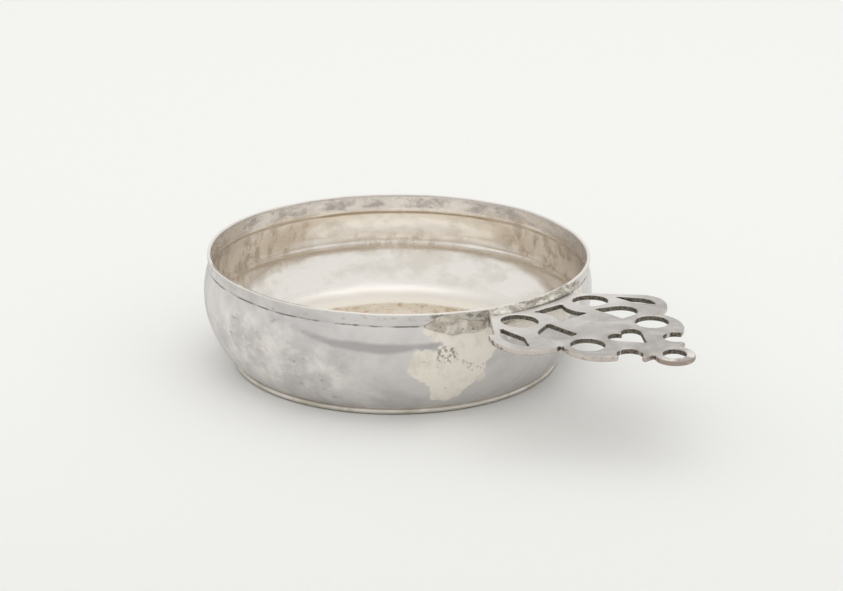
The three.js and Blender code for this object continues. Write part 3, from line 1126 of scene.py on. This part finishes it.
    def turned(self, name: str, points: list[Point], closed: bool, guide_radius: float,
               material: bpy.types.Material, zones: dict[Zone, list[float]]) -> bpy.types.Object:
        """Turns a profile into a finished mesh object.

        Args:
            name: The object's name.
            points: The profile's radii and levels, in millimetres.
            closed: True if the profile's last point joins its first.
            guide_radius: The radius of the circle that carries the profile, in millimetres.
            material: The finish.
            zones: Numbers for the profile's points, by zone, that the whole turn keeps.

        Returns:
            The object, with a plain mesh.
        """
        flat = [((r - guide_radius) * MM, -z * MM, 0.0) for r, z in points]
        edges = [(i, i + 1) for i in range(len(flat) - 1)]
        if closed:
            edges.append((len(flat) - 1, 0))
        profile = bpy.data.meshes.new(name)
        profile.from_pydata(flat, edges, [])
        for zone, numbers in zones.items():
            write_zone(profile, zone, np.array(numbers))
        made = new_object(name, profile)
        tree = self.tree(name + "_tree")
        modifier = made.modifiers.new("turned", "NODES")
        modifier.node_group = tree
        given = {
            "Turns": self.turns, "Guide Radius": guide_radius * MM, "Height": RIM_LEVEL * MM,
            "Axis": self.axis, "Dent Size": self.dent_size * MM, "Dent Depth": self.dent_depth * MM,
            "Wave Size": self.wave_size * MM, "Wave Depth": self.wave_depth * MM,
            "Wander Size": self.wander_size * MM, "Wander Depth": self.wander_depth * MM,
            "Course": self.course, "Aside X": ACROSS.x, "Aside Y": ACROSS.y, "Lean": self.lean,
            "Shift Low": self.base_shift * MM, "Shift High": self.rim_shift * MM,
            "Seed": self.seed, "Material": material,
        }
        for item in tree.interface.items_tree:
            if item.in_out == "INPUT" and item.name in given:
                modifier[item.identifier] = given[item.name]
        flattened(made)
        face_out(made.data)
        return made


@dataclass
class RaisedBowl(TurnedPiece):
    """The raised sheet: domed centre, seat, belly, crease, collar and lip.

    Sizes are in millimetres. Inside, the floor ends at corner_radius and the wall starts at
    corner_from, with a soft corner between them. The last course of hammer blows left a low ridge
    round the inner wall at course_level. The outlines on the wall have an azimuth in degrees, counted
    from the handle, and a level.
    """

    dent_depth: float = 0.3
    wave_depth: float = 0.6
    wander_depth: float = 1.0
    course: float = 2.0
    lean: float = -0.013
    base_shift: float = -0.6
    rim_shift: float = 0.5

    rim_radius: float = 62.0
    sheet: float = 1.1
    collar_flare: float = 0.4
    belly_radius: float = 63.0
    belly_level: float = 24.5
    seat_radius: float = 51.8
    seat_level: float = 1.39
    seat_bend: float = 1.6
    floor_radius: float = 47.0
    floor_drop: float = 1.2
    floor_sheet: float = 0.65
    dome_radius: float = 40.0
    dome_rise: float = 3.0
    crease_depth: float = 0.15
    crease_half: float = 0.3
    inner_belly_level: float = 22.3
    corner_from: float = 4.6
    corner_radius: float = 45.8
    corner_rise: float = 1.5
    course_level: float = 17.8
    course_height: float = 0.2
    course_half: float = 0.9

    dome_steps: int = 12
    floor_steps: int = 4
    bend_steps: int = 6
    wall_steps: int = 26
    shoulder_steps: int = 8
    collar_steps: int = 6
    lip_steps: int = 10
    inner_wall_steps: int = 80
    corner_steps: int = 12

    flood: tuple[Point, ...] = (
        (-37.2, 31.7), (-34.5, 28.4), (-31.5, 26.6), (-33.0, 25.0), (-38.5, 24.4), (-40.2, 20.2),
        (-41.7, 17.2), (-38.7, 15.8), (-35.8, 13.8), (-33.9, 9.9), (-32.6, 6.1), (-28.2, 4.5),
        (-23.7, 8.0), (-21.0, 11.2), (-17.6, 12.7), (-17.4, 16.3), (-15.7, 21.3), (-13.5, 26.0),
        (0.0, 25.0), (22.0, 26.0), (26.0, 31.7),
    )
    # Outlines of the brown film inside: tarnish, and painted reflected shade at the two ends of the wall
    tarnish: tuple[tuple[Point, ...], ...] = (
        ((164.0, 30.0), (168.0, 20.0), (172.0, 16.0), (200.0, 13.0), (232.0, 14.0), (240.0, 31.0)),
        ((104.0, 30.0), (100.0, 21.0), (92.0, 16.5), (70.0, 14.0), (40.0, 15.0), (34.0, 31.0)),
        ((150.0, 20.4), (130.0, 21.0), (118.0, 20.0), (120.0, 15.6), (148.0, 15.6)),
    )
    torn_spot: tuple[Point, ...] = (
        (-33.2, 25.6), (-28.2, 25.8), (-26.2, 23.4), (-28.2, 19.6), (-32.2, 20.6),
    )
    torn_line: tuple[Point, ...] = (
        (-26.4, 21.2), (-24.0, 20.6), (-21.4, 18.8), (-18.8, 16.6), (-20.6, 15.7), (-23.4, 17.6),
    )
    # Outline of the painted shade band under the shoulder
    band: tuple[Point, ...] = (
        (-76.0, 29.4), (-68.0, 28.4), (-60.0, 27.6), (-48.0, 27.3), (-30.0, 27.2), (-31.0, 24.8),
        (-38.0, 24.4), (-46.0, 23.2), (-54.0, 23.8), (-62.0, 24.8), (-70.0, 27.2),
    )
    rub: tuple[Point, ...] = (
        (-112.0, 29.0), (-84.0, 29.5), (-70.0, 26.0), (-59.0, 22.0), (-55.0, 14.0), (-60.0, 7.0),
        (-82.0, 5.0), (-100.0, 8.0), (-114.0, 16.0),
    )
    joint: tuple[Point, ...] = ((-35.0, 31.6), (-34.0, 36.0), (24.0, 36.0), (24.0, 31.6))

    @property
    def throat_radius(self) -> float:
        """The collar's outer radius at the crease."""
        return self.rim_radius - self.collar_flare

    @property
    def bend_level(self) -> float:
        """The level of the centre of the bend that joins the seat to the wall."""
        return self.seat_level + self.seat_bend

    def underside(self) -> list[Point]:
        """Gives the underside of the domed centre and of the flat floor round it."""
        level = self.seat_level - self.floor_drop
        quarter = math.pi / 2 / self.dome_steps
        dome = [
            (self.dome_radius * i / self.dome_steps, level + self.dome_rise * math.cos(quarter * i) ** 2)
            for i in range(self.dome_steps + 1)
        ]
        width = self.floor_radius - self.dome_radius
        floor = [(self.dome_radius + width * i / self.floor_steps, level)
                 for i in range(1, self.floor_steps + 1)]
        return dome + floor

    def outside(self) -> list[Point]:
        """Gives the outer line, from the axis below, over the belly and the collar, to the inner lip."""
        width = self.belly_radius - self.seat_radius
        lower = belly_arc(width, self.belly_level - self.bend_level, self.seat_bend)
        lower_x = self.belly_radius - lower
        turn = math.degrees(math.atan2(self.bend_level - self.belly_level, self.seat_radius - lower_x))
        rise = CREASE_LEVEL - self.belly_level
        upper = belly_arc(self.belly_radius - self.throat_radius, rise)
        crease = math.degrees(math.asin((rise - self.crease_half) / upper))
        underside = self.underside()
        run = self.seat_radius - self.floor_radius
        drop = self.bend_level - underside[-1][1]
        start = math.degrees(math.atan2(-drop, -run) + math.acos(self.seat_bend / math.hypot(run, drop)))
        lip = self.sheet / 2
        height = RIM_LEVEL - lip - CREASE_LEVEL
        collar = [
            (self.throat_radius + self.collar_flare * i / self.collar_steps,
             CREASE_LEVEL + height * i / self.collar_steps)
            for i in range(1, self.collar_steps)
        ]
        return [
            *underside,
            *arc(self.seat_radius, self.bend_level, self.seat_bend, start, turn, self.bend_steps),
            *arc(lower_x, self.belly_level, lower, turn, 0, self.wall_steps)[1:],
            *arc(self.belly_radius - upper, self.belly_level, upper, 0, crease, self.shoulder_steps)[1:],
            (self.throat_radius - self.crease_depth, CREASE_LEVEL),
            (collar[0][0], CREASE_LEVEL + self.crease_half),
            *collar,
            *arc(self.rim_radius - lip, RIM_LEVEL - lip, lip, 0, 180, self.lip_steps),
        ]

    def inside(self) -> list[Point]:
        """Gives the inner line, from the axis over the floor, its corner, the wall and the collar."""
        radius = self.belly_radius - self.sheet
        bend = self.seat_bend - self.sheet
        width = radius - self.seat_radius
        depth = self.inner_belly_level - self.bend_level
        lower = belly_arc(width, depth, bend)
        start = math.degrees(math.atan2(-depth, lower - width))
        rise = INNER_CREASE_LEVEL - self.inner_belly_level
        upper = belly_arc(self.belly_radius - self.throat_radius, rise)
        turn = math.degrees(math.asin(rise / upper))
        wall = [
            (r - self.course_height * math.exp(-((z - self.course_level) / self.course_half) ** 2), z)
            for r, z in arc(radius - lower, self.inner_belly_level, lower, start, 0, self.inner_wall_steps)
            if z > self.corner_from
        ]
        floor = [p for p in inset(self.underside(), self.floor_sheet) if p[0] < self.corner_radius]
        throat = self.throat_radius - self.sheet
        height = RIM_LEVEL - self.sheet / 2 - INNER_CREASE_LEVEL
        return [
            *floor,
            *self.corner(floor[-1], wall[:2]),
            *wall,
            *arc(radius - upper, self.inner_belly_level, upper, 0, turn, self.shoulder_steps)[1:],
            *[(throat + self.collar_flare * i / self.collar_steps,
               INNER_CREASE_LEVEL + height * i / self.collar_steps) for i in range(1, self.collar_steps)],
        ]

    def corner(self, floor_end: Point, wall: list[Point]) -> list[Point]:
        """Joins the floor to the wall inside with a curve that leaves the wall smoothly.

        Args:
            floor_end: The floor's last point.
            wall: The wall's two lowest points.

        Returns:
            The points between the floor and the wall.
        """
        level = floor_end[1] + self.corner_rise
        (x1, z1), (x2, z2) = wall
        knee = (x1 - (z1 - level) * (x2 - x1) / (z2 - z1), level)
        shares = [i / self.corner_steps for i in range(1, self.corner_steps)]
        return [
            tuple((1 - t) ** 2 * a + 2 * t * (1 - t) * b + t ** 2 * c
                  for a, b, c in zip(floor_end, knee, wall[0]))
            for t in shares
        ]

    def build(self) -> bpy.types.Object:
        """Makes the bowl and stands it for its CAD node.

        Returns:
            The finished object.
        """
        outside = self.outside()
        inside = self.inside()
        profile = outside + inside[::-1]
        made = self.turned("silver_bowl", profile, False, self.rim_radius, PLANISHED_SHEET.build(), {
            Zone.LEVEL: [z for _, z in profile],
            Zone.INSIDE: [0.0] * len(outside) + [1.0] * len(inside),
        })
        self.mark_zones(made.data)
        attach(made, "root")
        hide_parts("bowl")
        return made

    def mark_zones(self, mesh: bpy.types.Mesh) -> None:
        """Writes how far inside each outline on the wall a vertex lies into the mesh.

        Args:
            mesh: The bowl's mesh.
        """
        points = coordinates(mesh) / MM
        azimuth = np.degrees(np.arctan2(points[:, 1], points[:, 0] - self.axis / MM))
        level = read_zone(mesh, Zone.LEVEL)
        outer = read_zone(mesh, Zone.INSIDE) < 0.5
        outlines = {
            Zone.FLOOD: (self.flood,), Zone.TORN: (self.torn_spot, self.torn_line),
            Zone.RUBBED: (self.rub,), Zone.JOINT: (self.joint,), Zone.BAND: (self.band,),
        }
        for zone, shapes in outlines.items():
            depths = [self.depth(azimuth, level, shape) for shape in shapes]
            write_zone(mesh, zone, np.where(outer, np.max(depths, axis=0), FAR_OUTSIDE))
        films = [self.depth(azimuth % 360, level, shape) for shape in self.tarnish]
        write_zone(mesh, Zone.TARNISH, np.where(outer, FAR_OUTSIDE, np.max(films, axis=0)))

    def depth(self, azimuth: np.ndarray, level: np.ndarray, outline: tuple[Point, ...]) -> np.ndarray:
        """Measures how far inside an outline on the wall points lie.

        Args:
            azimuth: The points' azimuths, in degrees.
            level: The points' levels, in millimetres.
            outline: The outline's azimuths and levels.

        Returns:
            The distances to the outline, in millimetres, below zero outside it.
        """
        degree = np.radians(1) * self.belly_radius
        return inside_by(np.column_stack([azimuth * degree, level]), [(a * degree, z) for a, z in outline])


@dataclass
class FootWire(TurnedPiece):
    """The wire that the bowl stands on. Sizes are in millimetres.

    Its centre lies lower than half of its width, because wear has cut it flat at the table.
    """

    turns: int = 300
    wave_size: float = 20.0
    wave_depth: float = 0.12
    base_shift: float = -0.6
    rim_shift: float = -0.6
    seed: float = 9.0

    centre_radius: float = 52.5
    centre_level: float = 0.9
    wire: float = 1.9
    section_steps: int = 22

    def build(self) -> bpy.types.Object:
        """Makes the wire and stands it for its CAD node.

        Returns:
            The finished object.
        """
        half = self.wire / 2
        flat = math.degrees(math.acos(self.centre_level / half))
        section = arc(self.centre_radius, self.centre_level, half, flat - 90, 270 - flat, self.section_steps)
        made = self.turned("foot_wire", section, True, self.centre_radius, DRAWN_WIRE.build(), {
            Zone.LEVEL: [z for _, z in section],
        })
        points = coordinates(made.data)
        points[:, 2] = np.maximum(points[:, 2], 0.0)
        place(made.data, points)
        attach(made, "root")
        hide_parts("foot_ring")
        return made


@dataclass
class PiercedHandle:
    """The cast plate, sawn and filed, with worn edges. Sizes are in millimetres, angles in degrees.

    The file left waves as wide as file_size on the upright faces. The plate tilts across itself by
    cross_tilt at its root, which fades out within tilt_reach. A face turns from flat to upright
    between side_from and side_to. A wall is a sawn one if metal lies within facing_reach ahead of it,
    or both left and right of that by bay_angle. A notch is a place that notch_rounds of evening out
    would fill by notch_depth.
    """

    voxel: float = 0.26
    wear_rounds: int = 3
    wave_size: float = 9.0
    wave_depth: float = 0.06
    file_size: float = 1.1
    file_depth: float = 0.05
    file_octaves: int = 2
    cross_tilt: float = -0.03
    tilt_reach: float = 26.0
    facing_gap: float = 0.1
    facing_reach: float = 16.0
    bay_angle: float = 55.0
    blend_rounds: int = 6
    notch_rounds: int = 24
    notch_depth: float = 0.09
    side_from: float = 0.2
    side_to: float = 0.5
    tip_reach: float = 12.0

    def build(self) -> bpy.types.Object:
        """Makes the plate and stands it for its CAD node.

        Returns:
            The finished object.
        """
        mesh = cad_copy("handle", self.voxel)
        worn(mesh, self.wear_rounds)
        points = coordinates(mesh)
        facing = normals(mesh)
        self.mark_zones(mesh, points, facing)
        side = 1 - np.abs(facing[:, 2])
        points[:, 2] += rough_by(points, self.wave_size) * self.wave_depth * MM
        filed = side * rough_by(points, self.file_size, self.file_octaves) * self.file_depth * MM
        points += facing * filed[:, None]
        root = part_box("handle")[0].x
        fade = np.clip(1 - (points[:, 0] - root) / (self.tilt_reach * MM), 0, 1)
        points[:, 2] += self.cross_tilt * points[:, 1] * fade
        place(mesh, points)
        made = new_object("pierced_handle", smooth_shaded(mesh, CAST_PLATE.build()))
        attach(made, "root")
        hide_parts("handle")
        return made

    def mark_zones(self, mesh: bpy.types.Mesh, points: np.ndarray, facing: np.ndarray) -> None:
        """Writes the plate's zones into its mesh.

        Args:
            mesh: The plate's mesh.
            points: Its vertices, in metres.
            facing: Its vertex normals.
        """
        low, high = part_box("handle")
        sawn = self.sawn(mesh, points, facing)
        write_zone(mesh, Zone.SAWN, sawn)
        write_zone(mesh, Zone.EDGE, np.clip(self.upright(facing) - sawn, 0, 1))
        filled = np.sum((evened(mesh, points, self.notch_rounds) - points) * facing, axis=1)
        write_zone(mesh, Zone.NOTCH, np.clip(filled / (self.notch_depth * MM), 0, 1))
        write_zone(mesh, Zone.OUTWARD, (points[:, 0] - low.x) / (high.x - low.x))
        write_zone(mesh, Zone.TIP, np.clip(1 - (high.x - points[:, 0]) / (self.tip_reach * MM), 0, 1))

    def upright(self, facing: np.ndarray) -> np.ndarray:
        """Gives 1 for each vertex on an upright face, 0 on a flat face and what lies between on a bevel."""
        return np.clip((1 - np.abs(facing[:, 2]) - self.side_from) / (self.side_to - self.side_from), 0, 1)

    def sawn(self, mesh: bpy.types.Mesh, points: np.ndarray, facing: np.ndarray) -> np.ndarray:
        """Finds the sawn walls: those of an opening, or of a bay with metal to its left and right.

        Args:
            mesh: The plate's mesh.
            points: Its vertices, in metres.
            facing: Its vertex normals.

        Returns:
            One number for each vertex, 1 on such a wall and 0 elsewhere.
        """
        tree = BVHTree.FromPolygons(points.tolist(), [p.vertices[:] for p in mesh.polygons])
        side = self.upright(facing)
        bay = math.radians(self.bay_angle)
        found = np.zeros(len(points))
        for i in np.flatnonzero(side > 0):
            way = Vector((facing[i, 0], facing[i, 1], 0.0)).normalized()
            start = Vector(points[i]) + way * self.facing_gap * MM
            ahead, left, right = (
                tree.ray_cast(start, Matrix.Rotation(turn, 3, "Z") @ way, self.facing_reach * MM)[0]
                for turn in (0.0, bay, -bay)
            )
            found[i] = float(ahead is not None or (left is not None and right is not None))
        return evened(mesh, found[:, None], self.blend_rounds)[:, 0] * side


@dataclass
class SolderSeam:
    """A fillet of solder along the handle's root. Sizes are in millimetres.

    It swells by spread all over, so that it meets the metal beside it.
    """

    side: Side
    voxel: float = 0.16
    wear_rounds: int = 4
    spread: float = 0.32
    lump_size: float = 1.6
    lump_depth: float = 0.14
    lump_octaves: int = 2

    def build(self, material: bpy.types.Material) -> bpy.types.Object:
        """Makes the seam and stands it for its CAD node.

        Args:
            material: The solder's material.

        Returns:
            The finished object.
        """
        mesh = cad_copy(self.side.value, self.voxel)
        worn(mesh, self.wear_rounds)
        points = coordinates(mesh)
        lumps = self.spread + rough_by(points, self.lump_size, self.lump_octaves) * self.lump_depth
        place(mesh, points + normals(mesh) * (lumps * MM)[:, None])
        made = new_object("solder_" + self.side.name.lower(), smooth_shaded(mesh, material))
        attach(made, "root")
        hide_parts(self.side.value)
        return made


@dataclass
class OldPatch:
    """The thin patch over the crease, hammered down and ragged.

    The axis is the bowl's x in metres, and the other sizes are in millimetres. The patch lies deeper
    than the solid by sink, close on the wall.
    """

    axis: float
    voxel: float = 0.16
    wear_rounds: int = 4
    sink: float = 0.3
    lump_size: float = 2.4
    lump_depth: float = 0.12
    lump_octaves: int = 3

    def build(self) -> bpy.types.Object:
        """Makes the patch and stands it for its CAD node.

        Returns:
            The finished object.
        """
        mesh = cad_copy("repair_patch", self.voxel)
        worn(mesh, self.wear_rounds)
        points = coordinates(mesh)
        lumps = rough_by(points, self.lump_size, self.lump_octaves) * self.lump_depth
        points += normals(mesh) * (lumps * MM)[:, None]
        radial = points - np.array([self.axis, 0.0, 0.0])
        radial[:, 2] = 0.0
        radial /= np.linalg.norm(radial, axis=1)[:, None]
        place(mesh, points - radial * self.sink * MM)
        made = new_object("old_patch", smooth_shaded(mesh, HAMMERED_PATCH.build()))
        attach(made, "root")
        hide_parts("repair_patch")
        return made


@dataclass
class Studio:
    """The pale floor, the soft light and the camera. Sizes are in metres, the lamp's power in watts."""

    axis: float
    floor_half: float = 4.0
    floor_colour: str = "#f6f6f4"
    # Painted shade: the floor greys towards the camera
    near_colour: str = "#cac8c5"
    fade_from: float = 0.0
    fade_to: float = -1.2
    paper_roughness: float = 0.9
    paper_shine: float = 0.2
    surround: str = "#fafaf8"
    surround_strength: float = 1.0
    diffuse_strength: float = 0.92
    lamp_size: float = 1.2
    lamp_height: float = 1.5
    lamp_right: float = 0.1
    lamp_back: float = 0.2
    lamp_power: float = 3.0
    nearest_seen: float = 0.01
    furthest_seen: float = 50.0

    def build(self) -> None:
        """Sets up the studio and the camera."""
        self.floor()
        self.world()
        self.lamp()
        self.camera()
        bpy.context.scene.view_settings.view_transform = "Standard"

    def floor(self) -> None:
        """Lays the pale paper floor, with painted shade that makes it a little greyer towards the camera."""
        half = self.floor_half
        mesh = bpy.data.meshes.new("floor")
        mesh.from_pydata([(-half, -half, 0.0), (half, -half, 0.0), (half, half, 0.0), (-half, half, 0.0)],
                         [], [(0, 1, 2, 3)])
        mesh.materials.append(self.paper())
        new_object("floor", mesh)

    def paper(self) -> bpy.types.Material:
        """Makes the floor's material: matt paper, with painted shade that greys it towards the camera.

        Returns:
            The new node material.
        """
        material = bpy.data.materials.new("floor_paper")
        material.use_nodes = True
        tree = material.node_tree
        tree.nodes.clear()
        space = add(tree, "ShaderNodeTexCoord").outputs["Object"]
        # Painted shade towards the camera
        away = add(tree, "ShaderNodeVectorMath", {"operation": "DOT_PRODUCT"}, {0: space, 1: AWAY})
        near = add(tree, "ShaderNodeMapRange", inputs={
            "Value": away.outputs["Value"], "From Min": self.fade_from, "From Max": self.fade_to,
        })
        shade = add(tree, "ShaderNodeMix", {"data_type": "RGBA"}, {
            "Factor": near.outputs["Result"], 6: linear(self.floor_colour), 7: linear(self.near_colour),
        })
        surface = add(tree, "ShaderNodeBsdfPrincipled", inputs={
            "Base Color": shade.outputs[2], "Roughness": self.paper_roughness,
            "Specular IOR Level": self.paper_shine,
        })
        add(tree, "ShaderNodeOutputMaterial", inputs={"Surface": surface.outputs["BSDF"]})
        return material

    def world(self) -> None:
        """Surrounds the object with an even pale light."""
        world = bpy.data.worlds.new("studio")
        bpy.context.scene.world = world
        world.use_nodes = True
        tree = world.node_tree
        tree.nodes.clear()
        path = add(tree, "ShaderNodeLightPath").outputs
        seen = path["Is Camera Ray"]
        for ray in ("Is Glossy Ray", "Is Transmission Ray"):
            seen = add(tree, "ShaderNodeMath", {"operation": "MAXIMUM"}, {0: seen, 1: path[ray]}).outputs[0]
        strength = add(tree, "ShaderNodeMapRange", inputs={
            "Value": seen, "To Min": self.diffuse_strength, "To Max": self.surround_strength,
        })
        light = add(tree, "ShaderNodeBackground", inputs={
            "Color": linear(self.surround), "Strength": strength.outputs["Result"],
        })
        add(tree, "ShaderNodeOutputWorld", inputs={"Surface": light.outputs["Background"]})

    def lamp(self) -> None:
        """Hangs one large soft lamp over the table."""
        light = bpy.data.lights.new("soft_lamp", "AREA")
        light.shape = "SQUARE"
        light.size = self.lamp_size
        light.energy = self.lamp_power
        made = bpy.data.objects.new("soft_lamp", light)
        bowl = Vector((self.axis, 0.0, 0.0))
        aside = ACROSS * self.lamp_right + AWAY * self.lamp_back
        made.location = bowl + aside + Vector((0.0, 0.0, self.lamp_height))
        made.rotation_mode = "QUATERNION"
        made.rotation_quaternion = (bowl - made.location).to_track_quat("-Z", "Y")
        bpy.context.scene.collection.objects.link(made)

    def camera(self) -> None:
        """Sets the camera where the photograph was taken from."""
        rise = math.radians(VIEW_ELEVATION)
        roll = math.radians(VIEW_ROLL)
        back = Vector((0.0, 0.0, math.sin(rise))) - AWAY * math.cos(rise)
        right = ACROSS * math.cos(roll) + back.cross(ACROSS) * math.sin(roll)
        up = back.cross(right)
        aim = Vector((self.axis, 0.0, AIM_HEIGHT * MM)) + ACROSS * AIM_RIGHT * MM
        lens = bpy.data.cameras.new("camera")
        lens.sensor_width = SENSOR_WIDTH
        lens.lens = FOCAL_PIXELS / PHOTO_WIDTH * SENSOR_WIDTH
        lens.clip_start = self.nearest_seen
        lens.clip_end = self.furthest_seen
        made = bpy.data.objects.new("camera", lens)
        turned = Matrix((right, up, back)).transposed().to_4x4()
        made.matrix_world = Matrix.Translation(aim + back * VIEW_DISTANCE * MM) @ turned
        bpy.context.scene.collection.objects.link(made)
        bpy.context.scene.camera = made


def main() -> None:
    """Builds the porringer, sub-assembly by sub-assembly, and its studio."""
    logging.basicConfig(level=logging.INFO, format="%(name)s: %(message)s")
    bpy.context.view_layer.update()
    low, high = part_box("bowl")
    axis = (low.x + high.x) / 2
    solder = HARD_SOLDER.build()
    builders: list[Callable[[], bpy.types.Object]] = [
        RaisedBowl(axis).build,
        FootWire(axis).build,
        PiercedHandle().build,
        lambda: SolderSeam(Side.ABOVE).build(solder),
        lambda: SolderSeam(Side.BELOW).build(solder),
        OldPatch(axis).build,
    ]
    for build in builders:
        made = build()
        LOG.info("%s: %d faces", made.name, len(made.data.polygons))
    Studio(axis).build()


if __name__ == "__main__":
    main()
